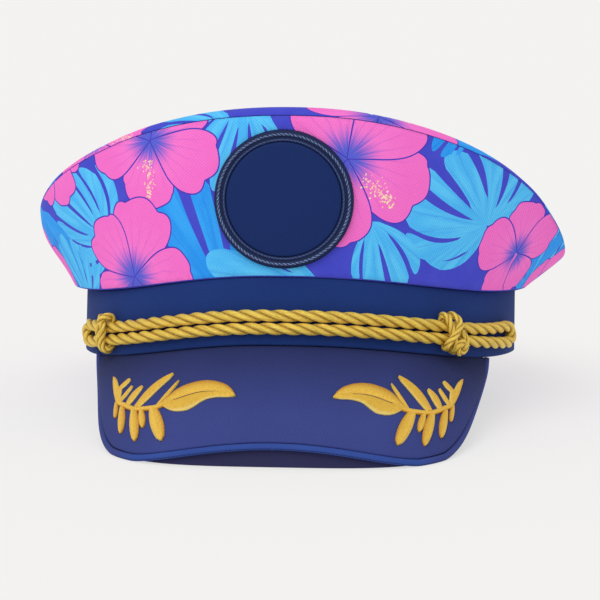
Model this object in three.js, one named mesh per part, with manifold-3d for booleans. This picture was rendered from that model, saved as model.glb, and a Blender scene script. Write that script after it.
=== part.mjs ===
// A captain's hat of printed cloth, resting on its peak and on the back of its band.
// Millimetres. The hat is drawn with the bottom of its band at z = 0 and its front towards -Y,
// then the whole hat is leaned back about X until it stands on the floor.
import * as THREE from 'three';
import { mergeVertices } from 'three/addons/utils/BufferGeometryUtils.js';
import Module from 'manifold-3d';

const wasm = await Module();
wasm.setup();

// General clearances and walls
const clearance = 0.3;
const clothWall = 1.5;
const floorPress = 1.2;

// Head band
const bandWidth = 200;
const bandDepth = 196;
const bandHeight = 29.5;
const bandWall = 2;
const templeDipLeft = 4;
const templeDipRight = 2.4;
const templeAngle = 50;
const templeSpan = 46;
const sideLiftLeft = 2.5;
const sideLiftRight = 4;
const sideAngle = 102;
const sideSpan = 50;

// Crown
const crownWidth = 246;
const crownFrontReach = 113;
const crownBackReach = 121;
const crownHeight = 101;
const crownRollHeight = 5;
const crownRollDepth = 10;
const crownOverhang = 5;
const crownTuck = 5;
const crownTopSag = 2.5;
const crownFoldEase = 0.5;
const crownBagHang = 0.5;

// Peak
const peakReach = 36;
const peakDrop = 52.5;
const peakSeamAngle = 60.5;
const peakFootWidth = 158;
const peakCornerPower = 3.7;
const peakSideRun = 65;
const peakSidePower = 1.25;
const peakFlangeHeight = 6;
const peakTopEnd = 0.955;
const peakUnderEnd = 0.945;
const peakUnderStart = 0.05;
const peakTopWall = 1.6;
const peakUnderWall = 1.5;
const peakBelly = 1.6;
const layerEase = 0.2;
const pipingDiameter = 2.8;
const pipingArch = 8;
const pipingArchHalfWidth = 60;

// Badge
const badgeDiameter = 59.5;
const badgeBorderWidth = 5.2;
const badgeBorderHeight = 2.6;
const badgeThickness = 1.6;
const badgeCentreHeight = 62;

// Gold cord
const cordDiameter = 5.2;
const cordLevel = 9.7;
const cordPitch = 5.6;
const cordEndSlot = 1.6;
const cordSlotStart = 8;
const cordStraightShare = 0.92;
const cordLeftEnd = -62.5;
const cordRightEnd = 70;
const knotLeftAngle = -52.5;
const knotRightAngle = 44;
const wrapDiameter = 3.6;

// Leaf sprays
const sprayLength = 52.3;
const sprayThickness = 1.1;
const sprayOutLeft = 49;
const sprayOutRight = 52;
const sprayNarrowRight = 0.92;
const sprayDown = 34;

// How the crown's rim runs round the head: at = degrees from the front, positive towards +X;
// rim = height of the rim as a share of crownHeight; overhang = how far the cloth bags over the
// band as a share of crownOverhang; swell and puff = shares of the flare that bend the side
// into an S or a bow.
const crownRows = [
  { at: -150, rim: 0.51, overhang: 0.9, swell: 0.03, puff: 0.04 },
  { at: -120, rim: 0.58, overhang: 1.1, swell: 0.05, puff: 0.05 },
  { at: -90, rim: 0.66, overhang: 1.2, swell: 0.05, puff: 0.15 },
  { at: -75, rim: 0.715, overhang: 1.1, swell: 0.05, puff: 0.12 },
  { at: -60, rim: 0.795, overhang: 0.8, swell: 0.03, puff: 0.05 },
  { at: -45, rim: 0.872, overhang: 0.5, swell: 0.0, puff: 0.05 },
  { at: -30, rim: 0.946, overhang: 0.3, swell: 0.0, puff: 0.05 },
  { at: -15, rim: 0.992, overhang: 0.2, swell: 0.0, puff: 0.05 },
  { at: 0, rim: 1.007, overhang: 0.2, swell: 0.0, puff: 0.06 },
  { at: 15, rim: 0.995, overhang: 0.2, swell: 0.0, puff: 0.05 },
  { at: 30, rim: 0.947, overhang: 0.3, swell: 0.0, puff: 0.05 },
  { at: 45, rim: 0.868, overhang: 0.5, swell: 0.0, puff: 0.03 },
  { at: 60, rim: 0.756, overhang: 0.7, swell: 0.0, puff: 0.02 },
  { at: 75, rim: 0.625, overhang: 0.9, swell: 0.0, puff: 0.0 },
  { at: 90, rim: 0.54, overhang: 1.0, swell: 0.0, puff: 0.02 },
  { at: 120, rim: 0.5, overhang: 1.0, swell: 0.02, puff: 0.04 },
  { at: 150, rim: 0.485, overhang: 0.9, swell: 0.03, puff: 0.04 },
  { at: 180, rim: 0.49, overhang: 0.9, swell: 0.03, puff: 0.04 },
];

// The leaves of one spray, drawn flat on the peak: in = towards the middle of the peak, up = up
// the slope, both as shares of sprayLength from the joint of the large leaf and the stem; width =
// share of sprayLength; bend = how far the midrib bows upward, as a share of the leaf's length.
const sprayLeaves = [
  { rootIn: 0, rootUp: 0, tipIn: 0.6, tipUp: 0.047, width: 0.27, bend: 0.13 },
  { rootIn: -0.045, rootUp: -0.025, tipIn: 0.118, tipUp: 0.254, width: 0.03, bend: 0 },
  { rootIn: -0.222, rootUp: -0.002, tipIn: 0.058, tipUp: 0.352, width: 0.078, bend: 0.05 },
  { rootIn: -0.312, rootUp: 0.033, tipIn: -0.195, tipUp: 0.239, width: 0.055, bend: 0.05 },
  { rootIn: -0.385, rootUp: 0.085, tipIn: -0.288, tipUp: 0.258, width: 0.028, bend: 0 },
  { rootIn: -0.411, rootUp: 0.239, tipIn: -0.324, tipUp: 0.351, width: 0.038, bend: 0 },
  { rootIn: -0.399, rootUp: 0.081, tipIn: -0.484, tipUp: 0.392, width: 0.05, bend: 0 },
  { rootIn: -0.413, rootUp: 0.083, tipIn: -0.401, tipUp: -0.088, width: 0.033, bend: 0 },
  { rootIn: -0.353, rootUp: 0.03, tipIn: -0.326, tipUp: -0.269, width: 0.058, bend: 0 },
  { rootIn: -0.243, rootUp: -0.02, tipIn: -0.19, tipUp: -0.377, width: 0.083, bend: 0 },
  { rootIn: -0.173, rootUp: -0.04, tipIn: -0.139, tipUp: -0.242, width: 0.053, bend: 0 },
  { rootIn: -0.077, rootUp: -0.03, tipIn: 0.035, tipUp: -0.406, width: 0.123, bend: 0 },
];

// The stem that carries them, in the same shares
const sprayStem = [
  { in: 0.03, up: 0.002 },
  { in: -0.046, up: -0.026 },
  { in: -0.16, up: -0.03 },
  { in: -0.245, up: -0.014 },
  { in: -0.341, up: 0.05 },
  { in: -0.4, up: 0.1 },
  { in: -0.415, up: 0.25 },
];
const sprayStemWidth = 0.022;

// Fineness of the faceted surfaces
const headColumns = 54;
const bandRows = 3;
const sideRows = 6;
const topRows = [0.4, 0.55, 0.75, 1];
const rollRows = 3;
const peakColumns = 32;
const peakRows = 4;
const badgeColumns = 32;
const tubeSides = 8;
const pipingSteps = 44;
const cordSteps = 70;
const wrapSteps = 10;
const largeLeafSteps = 6;
const smallLeafSteps = 3;
const stemSteps = 6;

// Cloth and cord colours
const looks = {
  crown: { color: 0x3fa4ee, roughness: 0.8, metalness: 0 },
  band: { color: 0x172f6b, roughness: 0.8, metalness: 0 },
  peak: { color: 0x323c78, roughness: 0.8, metalness: 0 },
  peakUnder: { color: 0x2e3055, roughness: 0.85, metalness: 0 },
  piping: { color: 0x3c5196, roughness: 0.7, metalness: 0 },
  badge: { color: 0x1a2f62, roughness: 0.75, metalness: 0 },
  gold: { color: 0xd0aa55, roughness: 0.4, metalness: 0.5 },
  stitchedGold: { color: 0xdfa53a, roughness: 0.5, metalness: 0.2 },
};

const radians = (degrees) => THREE.MathUtils.degToRad(degrees);
const mix = THREE.MathUtils.lerp;

// A smooth closed curve through one column of the crown's table
function roundTheHead(column, degrees) {
  const count = crownRows.length;
  const row = (index) => {
    const turn = Math.floor(index / count);
    const source = crownRows[index - turn * count];
    return { at: source.at + 360 * turn, value: source[column] };
  };
  const slope = (index) => {
    const before = row(index - 1);
    const after = row(index + 1);
    return (after.value - before.value) / (after.at - before.at);
  };
  let angle = degrees;
  while (angle < crownRows[0].at) angle += 360;
  while (angle >= crownRows[0].at + 360) angle -= 360;
  let index = 0;
  while (row(index + 1).at <= angle) index += 1;
  const span = row(index + 1).at - row(index).at;
  const s = (angle - row(index).at) / span;
  const rise = s * s * (3 - 2 * s);
  return mix(row(index).value, row(index + 1).value, rise)
    + span * slope(index) * s * (1 - s) * (1 - s)
    - span * slope(index + 1) * s * s * (1 - s);
}

// A smooth swell that dies out at a span of degrees either side of its middle
function swellAt(degrees, middle, span) {
  const away = Math.min(1, Math.abs(degrees - middle) / span);
  return 0.5 + 0.5 * Math.cos(Math.PI * away);
}

// The band dips a little at each temple and lifts at each side; band, crown, cord and peak all
// follow this line
function bandDipAt(degrees) {
  const wrapped = THREE.MathUtils.euclideanModulo(degrees + 180, 360) - 180;
  const dip = wrapped < 0 ? templeDipLeft : templeDipRight;
  const lift = wrapped < 0 ? sideLiftLeft : sideLiftRight;
  const from = Math.abs(wrapped);
  return lift * swellAt(from, sideAngle, sideSpan) - dip * swellAt(from, templeAngle, templeSpan);
}

// A point on the oval of the head, grown outward from the outer face of the band
function headOval(degrees, grow, z) {
  const angle = radians(degrees);
  const x = (bandWidth / 2 + grow) * Math.sin(angle);
  const y = -(bandDepth / 2 + grow) * Math.cos(angle);
  return new THREE.Vector3(x, y, z);
}

// The floor seen from the hat: a plane through the back of the band and the front of the peak
const leanSlope = (peakDrop + floorPress) / (bandDepth + peakReach);
const lean = Math.atan(leanSlope);
const floorAt = (y) => floorPress - (bandDepth / 2 - y) * leanSlope;

// The levels of a sheet's rows, spaced evenly
function evenLevels(from, to, rows) {
  return Array.from({ length: rows + 1 }, (_, row) => mix(from, to, row / rows));
}

// One closed skin from rows of points. A row may close on itself, and so may the rows.
function closedSkin(rows, rowsClose, capEnds) {
  const corners = [];
  const rowCount = rows.length;
  const columnCount = rows[0].length;
  const lastRow = rowsClose ? rowCount : rowCount - 1;
  for (let r = 0; r < lastRow; r += 1) {
    const here = rows[r];
    const next = rows[(r + 1) % rowCount];
    for (let c = 0; c < columnCount; c += 1) {
      const d = (c + 1) % columnCount;
      corners.push(here[c], here[d], next[d], here[c], next[d], next[c]);
    }
  }
  if (capEnds) {
    for (let c = 1; c < columnCount - 1; c += 1) {
      const first = rows[0];
      const last = rows[rowCount - 1];
      corners.push(first[0], first[c + 1], first[c], last[0], last[c], last[c + 1]);
    }
  }
  return solidFrom(corners);
}

// Triangles as corner points become one merged geometry with its faces outward
function solidFrom(corners) {
  const loose = new THREE.BufferGeometry().setFromPoints(corners);
  const merged = mergeVertices(loose, 1e-4);
  const index = Array.from(merged.index.array);
  const kept = [];
  for (let i = 0; i < index.length; i += 3) {
    const [a, b, c] = index.slice(i, i + 3);
    if (a !== b && b !== c && c !== a) kept.push(a, b, c);
  }
  const place = merged.getAttribute('position');
  const at = (i) => new THREE.Vector3().fromBufferAttribute(place, i);
  let volume = 0;
  for (let i = 0; i < kept.length; i += 3) {
    volume += at(kept[i]).dot(at(kept[i + 1]).cross(at(kept[i + 2])));
  }
  merged.setIndex(volume < 0 ? kept.reverse() : kept);
  return merged;
}

// A sheet of cloth: a surface given by (u, v), thickened between two offsets along its normal
function clothSheet(surface, columns, levels, front, back, around, ceilingAt = () => Infinity) {
  const step = 1e-3;
  const normalAt = (u, v) => {
    const inner = THREE.MathUtils.clamp(v, step, 1 - step);
    const acrossFrom = around ? u - step : Math.max(0, u - step);
    const acrossTo = around ? u + step : Math.min(1, u + step);
    const across = surface(acrossTo, inner).sub(surface(acrossFrom, inner));
    const along = surface(u, inner + step).sub(surface(u, inner - step));
    return across.cross(along).normalize();
  };
  const pointAt = (u, v, offset) => {
    const point = surface(u, v).addScaledVector(normalAt(u, v), offset);
    point.z = Math.min(Math.max(point.z, floorAt(point.y)), ceilingAt(u));
    return point;
  };
  const columnCount = around ? columns : columns + 1;
  const rings = [];
  for (let c = 0; c < columnCount; c += 1) {
    const u = c / columns;
    const ring = levels.map((v) => pointAt(u, v, front));
    for (const v of levels.slice().reverse()) ring.push(pointAt(u, v, back));
    rings.push(ring);
  }
  return closedSkin(rings, around, !around);
}

// A tube along a line, with an oval section: half its height off the cloth, and half its width
function roundTube(centreAt, outAt, halfOut, halfSide, steps, closes) {
  const step = 1e-3;
  const rings = [];
  const count = closes ? steps : steps + 1;
  for (let i = 0; i < count; i += 1) {
    const s = i / steps;
    const from = closes ? s - step : Math.max(0, s - step);
    const to = closes ? s + step : Math.min(1, s + step);
    const along = centreAt(to).sub(centreAt(from)).normalize();
    const out = outAt(s);
    out.addScaledVector(along, -out.dot(along)).normalize();
    const side = new THREE.Vector3().crossVectors(along, out);
    const ring = [];
    for (let k = 0; k < tubeSides; k += 1) {
      const turn = 2 * Math.PI * (k + 0.5) / tubeSides;
      const point = centreAt(s);
      point.addScaledVector(out, halfOut * Math.cos(turn));
      point.addScaledVector(side, halfSide * Math.sin(turn));
      point.z = Math.max(point.z, floorAt(point.y));
      ring.push(point);
    }
    rings.push(ring);
  }
  return closedSkin(rings, closes, !closes);
}

// Joins several closed geometries into one body
function joined(geometries) {
  const solids = geometries.map((geometry) => new wasm.Manifold(new wasm.Mesh({
    numProp: 3,
    vertProperties: new Float32Array(geometry.getAttribute('position').array),
    triVerts: new Uint32Array(geometry.index.array),
  })));
  const whole = solids.reduce((sum, solid) => sum.add(solid)).getMesh();
  const geometry = new THREE.BufferGeometry();
  geometry.setAttribute('position', new THREE.BufferAttribute(new Float32Array(whole.vertProperties), 3));
  geometry.setIndex(Array.from(whole.triVerts));
  return geometry;
}

// Head band: one upright strip round the head, its back pressed flat where it rests
function bandGeometry() {
  const surface = (u, v) => headOval(360 * u, 0, bandDipAt(360 * u) + bandHeight * v);
  return clothSheet(surface, headColumns, evenLevels(0, 1, bandRows), 0, -bandWall, true);
}

// The crown's base line: the cloth comes up inside the band and folds out over its top edge
const crownBaseGrow = -bandWall - clearance;
const bandTopAt = (degrees) => bandHeight + bandDipAt(degrees);
const foldLift = clearance + crownFoldEase;
const rimAt = (degrees) => crownHeight * roundTheHead('rim', degrees);
const seamAt = (degrees) => rimAt(degrees) - crownRollHeight;

// The outer line of the rim, seen from above
function rimOval(degrees, z) {
  const angle = radians(degrees);
  const reach = Math.cos(angle) > 0 ? crownFrontReach : crownBackReach;
  return new THREE.Vector3(crownWidth / 2 * Math.sin(angle), -reach * Math.cos(angle), z);
}

// The side of the crown above the fold: s = 0 at the bag over the band, 1 at the rim's seam
function crownSideAt(degrees, s) {
  const overhang = crownOverhang * roundTheHead('overhang', degrees);
  const low = headOval(degrees, overhang, bandTopAt(degrees) + foldLift - crownBagHang);
  const high = rimOval(degrees, seamAt(degrees));
  const bow = -roundTheHead('swell', degrees) * Math.sin(2 * Math.PI * s)
    + roundTheHead('puff', degrees) * Math.sin(Math.PI * s);
  const point = low.clone().lerp(high, s);
  const flare = high.clone().sub(low).setZ(0);
  return point.addScaledVector(flare, bow);
}

// The whole outer face of the crown's side: tuck, fold over the band's edge, then the side
const sideStart = 0.3;
const foldLegs = 3;
function crownSideSurface(u, v) {
  const degrees = 360 * u;
  if (v >= sideStart) return crownSideAt(degrees, (v - sideStart) / (1 - sideStart));
  const top = bandTopAt(degrees);
  const inside = headOval(degrees, crownBaseGrow, top - crownTuck);
  const corner = headOval(degrees, crownBaseGrow, top + clearance / 2);
  const lip = headOval(degrees, crownBaseGrow + bandWall / 2, top + foldLift);
  const bag = crownSideAt(degrees, 0);
  const path = [inside, corner, lip, bag];
  const place = v / sideStart * foldLegs;
  const leg = Math.min(foldLegs - 1, Math.floor(place));
  return path[leg].clone().lerp(path[leg + 1], place - leg);
}

function crownSideGeometry() {
  const levels = [...evenLevels(0, sideStart, foldLegs), ...evenLevels(sideStart, 1, sideRows).slice(1)];
  return clothSheet(crownSideSurface, headColumns, levels, 0, -clothWall, true, (u) => seamAt(360 * u));
}

// The rim's height as a sum of waves, so that the top can be drawn taut across it
const waveCount = 8;
const waveSamples = 72;
const waves = Array.from({ length: waveCount + 1 }, (_, order) => {
  let cosine = 0;
  let sine = 0;
  for (let i = 0; i < waveSamples; i += 1) {
    const degrees = 360 * i / waveSamples;
    cosine += rimAt(degrees) * Math.cos(order * radians(degrees));
    sine += rimAt(degrees) * Math.sin(order * radians(degrees));
  }
  const share = (order === 0 ? 1 : 2) / waveSamples;
  return { order, cosine: cosine * share, sine: sine * share };
});

// Height of the taut top: each wave of the rim dies out towards the middle
function topHeightAt(degrees, out) {
  let height = 0;
  let rimHeight = 0;
  for (const wave of waves) {
    const angle = wave.order * radians(degrees);
    const value = wave.cosine * Math.cos(angle) + wave.sine * Math.sin(angle);
    rimHeight += value;
    height += value * out ** wave.order;
  }
  height += (rimAt(degrees) - rimHeight) * out ** (waveCount + 1);
  return height - crownTopSag * (1 - out * out);
}

// The top of the crown: v = 0 at the seam, over the roll, then in to the middle at v = 1
const rollShare = 0.3;
function crownTopSurface(u, v) {
  const degrees = 360 * u;
  const rim = rimOval(degrees, 0);
  const radius = rim.length();
  const rollEnd = 1 - crownRollDepth / radius;
  if (v < rollShare) {
    const turn = v / rollShare * Math.PI / 2;
    const out = 1 - crownRollDepth / radius * (1 - Math.cos(turn));
    return rim.multiplyScalar(out).setZ(seamAt(degrees) + clearance + (crownRollHeight - clearance) * Math.sin(turn));
  }
  const out = (1 - v) / (1 - rollShare);
  return rim.multiplyScalar(rollEnd * out).setZ(topHeightAt(degrees, out));
}

function crownTopGeometry() {
  const levels = [...evenLevels(0, rollShare, rollRows), ...topRows];
  const rings = [];
  const step = 1e-3;
  for (let c = 0; c < headColumns; c += 1) {
    const u = c / headColumns;
    const outer = levels.map((v) => crownTopSurface(u, v));
    const inner = levels.map((v) => {
      const inside = THREE.MathUtils.clamp(v, step, 1 - 20 * step);
      const across = crownTopSurface(u + step, inside).sub(crownTopSurface(u - step, inside));
      const along = crownTopSurface(u, inside + step).sub(crownTopSurface(u, inside - step));
      const normal = across.cross(along).normalize();
      const point = crownTopSurface(u, v);
      if (v === 1) return point.setZ(point.z - clothWall);
      return point.addScaledVector(normal, -clothWall);
    });
    rings.push([...outer, ...inner.reverse()]);
  }
  return closedSkin(rings, true, false);
}

// The peak. t runs from -1 at the left end of its seam to 1 at the right end.
const seamHalfWidth = bandWidth / 2 * Math.sin(radians(peakSeamAngle));
const seamEndDepth = bandDepth / 2 * Math.cos(radians(peakSeamAngle));

// Where the peak is sewn on, just under the edge of the band
function peakSeamAt(t) {
  const degrees = peakSeamAngle * t;
  const below = clearance + peakTopWall / 2;
  return headOval(degrees, -peakTopWall / 2, bandDipAt(degrees) - below);
}

// The line in which the peak meets the floor, rising at each side to the end of the seam
function peakFootAt(t) {
  const angle = radians(90 * t);
  const round = 2 / peakCornerPower;
  const reach = bandDepth / 2 + peakReach - seamEndDepth;
  const y = -seamEndDepth - reach * Math.max(0, Math.cos(angle)) ** round;
  const climb = Math.max(0, 1 - (-y - seamEndDepth) / peakSideRun);
  const rise = 1 - Math.sqrt(Math.max(0, 1 - climb ** peakSidePower));
  const halfWidth = mix(peakFootWidth / 2, seamHalfWidth, climb * climb);
  const x = halfWidth * Math.sign(t) * Math.abs(Math.sin(angle)) ** round;
  const floor = floorAt(y);
  return new THREE.Vector3(x, y, mix(floor, Math.max(floor, peakSeamAt(1).z - pipingDiameter), rise));
}

// The t of a place along the foot, by its share of the foot's length, so that steps are even
const footSteps = 600;
const footLengths = [0];
for (let i = 1; i <= footSteps; i += 1) {
  const before = peakFootAt(2 * (i - 1) / footSteps - 1);
  footLengths.push(footLengths[i - 1] + before.distanceTo(peakFootAt(2 * i / footSteps - 1)));
}

function footShare(share) {
  const length = THREE.MathUtils.clamp(share, 0, 1) * footLengths[footSteps];
  let i = 1;
  while (i < footSteps && footLengths[i] < length) i += 1;
  const part = (length - footLengths[i - 1]) / (footLengths[i] - footLengths[i - 1]);
  return 2 * (i - 1 + part) / footSteps - 1;
}

// The piping runs along the foot and arches up from it over the middle of the peak
function pipingAt(t) {
  const point = peakFootAt(t);
  const middle = Math.max(0, 1 - (point.x / pipingArchHalfWidth) ** 2);
  point.z += (pipingDiameter / 2 + pipingArch * middle ** 1.3) * Math.cos(lean);
  return point;
}

// The level direction from the foot line towards the inside of the peak
function inwardAt(t) {
  const step = 1e-3;
  const along = peakFootAt(Math.min(1, t + step)).sub(peakFootAt(Math.max(-1, t - step))).setZ(0);
  return new THREE.Vector3(-along.y, along.x, 0).normalize();
}

// The middle of the peak's upper cloth: v = 0 at the seam, 1 at the centre of the piping
function peakSurface(t, v) {
  const seam = peakSeamAt(t);
  const edge = pipingAt(t);
  const point = seam.clone().lerp(edge, v);
  const slope = edge.clone().sub(seam);
  const side = new THREE.Vector3(-inwardAt(t).y, inwardAt(t).x, 0);
  const out = side.cross(slope).normalize();
  const fullness = Math.min(1, slope.length() / peakDrop);
  return point.addScaledVector(out, peakBelly * fullness * Math.sin(Math.PI * v));
}

// The share of the peak's slope that stays clear of the piping, square to which it is measured
function besidePiping(t) {
  const step = 1e-3;
  const slope = pipingAt(t).sub(peakSeamAt(t));
  const along = pipingAt(t + step).sub(pipingAt(t - step)).normalize();
  const square = slope.clone().cross(along).length();
  return Math.max(0.1, 1 - (pipingDiameter / 2 + clearance) / square);
}

// The upper cloth turns in under the band and up inside it, where it is sewn
const flangeEnd = 0.2;
function peakTopGeometry() {
  const flange = bandWall + clearance + peakTopWall / 2;
  const surface = (u, v) => {
    const t = footShare(u) * peakTopEnd;
    if (v >= flangeEnd) return peakSurface(t, (v - flangeEnd) / (1 - flangeEnd) * besidePiping(t));
    const seam = peakSeamAt(t);
    const top = headOval(peakSeamAngle * t, -flange, seam.z + peakFlangeHeight);
    const corner = headOval(peakSeamAngle * t, -flange, seam.z);
    const place = 2 * v / flangeEnd;
    return place < 1 ? top.lerp(corner, place) : corner.lerp(seam, place - 1);
  };
  const levels = [0, flangeEnd / 2, ...evenLevels(flangeEnd, 1, peakRows)];
  return clothSheet(surface, peakColumns, levels, peakTopWall / 2, -peakTopWall / 2, false);
}

// The cloth under the peak: close below the upper cloth, then straight down behind the piping
const underTurn = 0.75;
function peakUnderGeometry() {
  const below = (peakTopWall + peakUnderWall) / 2 + clearance + layerEase;
  const behind = (pipingDiameter + peakUnderWall) / 2 + clearance + 2 * layerEase;
  const surface = (u, v) => {
    const t = footShare(u) * peakUnderEnd;
    const inward = inwardAt(t);
    const bend = pipingAt(t).addScaledVector(inward, behind);
    if (v > underTurn) {
      const foot = peakFootAt(t).addScaledVector(inward, behind);
      foot.z = Math.max(floorAt(foot.y), foot.z - leanSlope * behind);
      return bend.lerp(foot, (v - underTurn) / (1 - underTurn));
    }
    const share = mix(peakUnderStart, 1, v / underTurn);
    const upper = peakSurface(t, share);
    const seam = peakSeamAt(t);
    const slope = pipingAt(t).sub(seam);
    const side = new THREE.Vector3(-inward.y, inward.x, 0);
    const out = side.cross(slope).normalize();
    const hung = upper.addScaledVector(out, -below);
    const settle = share ** 3;
    return hung.lerp(bend, settle);
  };
  const levels = [...evenLevels(0, underTurn, peakRows), 1];
  return clothSheet(surface, peakColumns, levels, peakUnderWall / 2, -peakUnderWall / 2, false);
}

function peakPipingGeometry() {
  const centreAt = (s) => pipingAt(footShare(s));
  const outAt = (s) => inwardAt(footShare(s)).negate();
  return roundTube(centreAt, outAt, pipingDiameter / 2, pipingDiameter / 2, pipingSteps, false);
}

// A point on the front of the crown, by its place from side to side and its height
function crownFrontAt(x, z, off) {
  let degrees = 0;
  let s = 0.5;
  for (let pass = 0; pass < 20; pass += 1) {
    const low = crownSideAt(degrees, 0).z;
    s = (z - low) / (seamAt(degrees) - low);
    const reach = crownSideAt(90, 0).x;
    const here = crownSideAt(degrees, s);
    degrees += THREE.MathUtils.radToDeg((x - here.x) / reach);
  }
  const step = 1e-2;
  const across = crownSideAt(degrees + step, s).sub(crownSideAt(degrees - step, s));
  const along = crownSideAt(degrees, s + step).sub(crownSideAt(degrees, s - step));
  const out = across.cross(along).normalize();
  return { point: crownSideAt(degrees, s).addScaledVector(out, off), out };
}

// How much the front of the crown leans forward, as the share of its slope that is height
const frontLow = crownSideAt(0, 0);
const frontHigh = crownSideAt(0, 1);
const frontUpright = (frontHigh.z - frontLow.z) / frontHigh.distanceTo(frontLow);

function badgeAt(radius, turn, off) {
  const x = radius * Math.sin(turn);
  const z = badgeCentreHeight + radius * Math.cos(turn) * frontUpright;
  return crownFrontAt(x, z, off);
}

function badgePatchGeometry() {
  const radius = badgeDiameter / 2 - badgeBorderWidth - clearance;
  const rings = [];
  const shares = [1, 0.5, 0];
  for (let c = 0; c < badgeColumns; c += 1) {
    const turn = 2 * Math.PI * c / badgeColumns;
    const front = shares.map((share) => badgeAt(radius * share, turn, clearance + badgeThickness).point);
    const back = shares.map((share) => badgeAt(radius * share, turn, clearance).point);
    rings.push([...front, ...back.reverse()]);
  }
  return closedSkin(rings, true, false);
}

function badgeBorderGeometry() {
  const radius = (badgeDiameter - badgeBorderWidth) / 2;
  const off = clearance + badgeBorderHeight / 2;
  const centreAt = (s) => badgeAt(radius, 2 * Math.PI * s, off).point;
  const outAt = (s) => badgeAt(radius, 2 * Math.PI * s, off).out;
  return roundTube(centreAt, outAt, badgeBorderHeight / 2, badgeBorderWidth / 2, badgeColumns, true);
}

// The cord lies on the band as one closed loop: along the top, round the right end, back below
// and round the left end. The two runs part a little before the right end.
const cordOff = clearance + cordDiameter / 2;
const cordDegreesPerMm = 360 / (Math.PI * (bandWidth + bandDepth) / 2);

function cordRunAt(degrees, side) {
  const part = THREE.MathUtils.smoothstep(degrees, knotRightAngle + cordSlotStart, cordRightEnd);
  const apart = (cordPitch + cordEndSlot * part) / 2;
  return headOval(degrees, cordOff, cordLevel + bandDipAt(degrees) + side * apart);
}

function cordLoopAt(s) {
  const turn = THREE.MathUtils.euclideanModulo(s, 1);
  const straight = cordStraightShare / 2;
  const bend = 0.5 - straight;
  if (turn < straight) return cordRunAt(mix(cordLeftEnd, cordRightEnd, turn / straight), 1);
  if (turn < 0.5) return cordBendAt(cordRightEnd, 1, (turn - straight) / bend);
  if (turn < 0.5 + straight) return cordRunAt(mix(cordRightEnd, cordLeftEnd, (turn - 0.5) / straight), -1);
  return cordBendAt(cordLeftEnd, -1, (turn - 0.5 - straight) / bend);
}

function cordBendAt(end, way, share) {
  const upper = cordRunAt(end, 1);
  const lower = cordRunAt(end, -1);
  const half = (upper.z - lower.z) / 2;
  const angle = Math.PI * share;
  const beyond = way * half * Math.sin(angle) * cordDegreesPerMm;
  const z = (upper.z + lower.z) / 2 + way * half * Math.cos(angle);
  return headOval(end + beyond, cordOff, z);
}

function goldCordGeometry() {
  const outAt = (s) => cordLoopAt(s).setZ(0).normalize();
  return roundTube(cordLoopAt, outAt, cordDiameter / 2, cordDiameter / 2, cordSteps, true);
}

// A knot on the cord: two turns of thinner cord laid over both runs, close to the band at each
// end, each slanted by its own amount
function cordKnotGeometry(degrees, wraps) {
  const half = wrapDiameter / 2;
  const round = cordDiameter / 2 + clearance + half;
  const rise = cordPitch / 2;
  const middle = cordLevel + bandDipAt(degrees);
  const turns = wraps.map(({ aside, slant }) => {
    const placeAt = (s) => {
      const upper = s < 0.5;
      const part = upper ? s / 0.5 : (1 - s) / 0.5;
      const angle = radians(mix(100, 0, Math.min(1, part / 0.8)));
      const height = (rise * Math.min(1, (1 - part) / 0.2) + round * Math.sin(angle)) * (upper ? 1 : -1);
      const out = Math.max(clearance + half - cordOff, round * Math.cos(angle));
      const along = degrees + (aside + slant * height) * cordDegreesPerMm;
      return headOval(along, cordOff + out, middle + height);
    };
    const outAt = (s) => headOval(degrees, 0, 0).normalize().add(new THREE.Vector3(0, 0, mix(1, -1, s)));
    return roundTube(placeAt, outAt, half, half, wrapSteps, false);
  });
  return joined(turns);
}

// A point on the outside of the peak by its place from side to side and its distance down the slope
function peakPlaceAt(x, down, off) {
  let t = x / seamHalfWidth;
  let share = 0;
  for (let pass = 0; pass < 30; pass += 1) {
    share = down / peakSeamAt(t).distanceTo(pipingAt(t));
    const here = peakSurface(t, share);
    t = THREE.MathUtils.clamp(t + (x - here.x) / (seamHalfWidth * 1.6), -0.98, 0.98);
  }
  const step = 1e-3;
  const across = peakSurface(t + step, share).sub(peakSurface(t - step, share));
  const along = peakSurface(t, share + step).sub(peakSurface(t, share - step));
  const out = across.cross(along).normalize();
  if (out.y > 0) out.negate();
  return peakSurface(t, share).addScaledVector(out, peakTopWall / 2 + off);
}

// One stitched leaf or stretch of stem: a low ridge over a midline, flat below
function stitchedBlade(midlineAt, widthAt, side, steps) {
  const rings = [];
  const outTo = side < 0 ? sprayOutLeft : sprayOutRight;
  const narrow = side < 0 ? 1 : sprayNarrowRight;
  const place = (flat, off) => peakPlaceAt(side * (outTo - narrow * flat.x), sprayDown - flat.y, off);
  for (let i = 0; i <= steps; i += 1) {
    const s = i / steps;
    const here = midlineAt(s);
    const along = midlineAt(Math.min(1, s + 0.01)).sub(midlineAt(Math.max(0, s - 0.01))).normalize();
    const across = new THREE.Vector2(-along.y, along.x).multiplyScalar(widthAt(s) / 2);
    const left = here.clone().add(across);
    const right = here.clone().sub(across);
    const rim = clearance + sprayThickness * 0.45;
    rings.push([
      place(left, clearance), place(left, rim), place(here, clearance + sprayThickness),
      place(right, rim), place(right, clearance),
    ]);
  }
  return closedSkin(rings, false, true);
}

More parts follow.
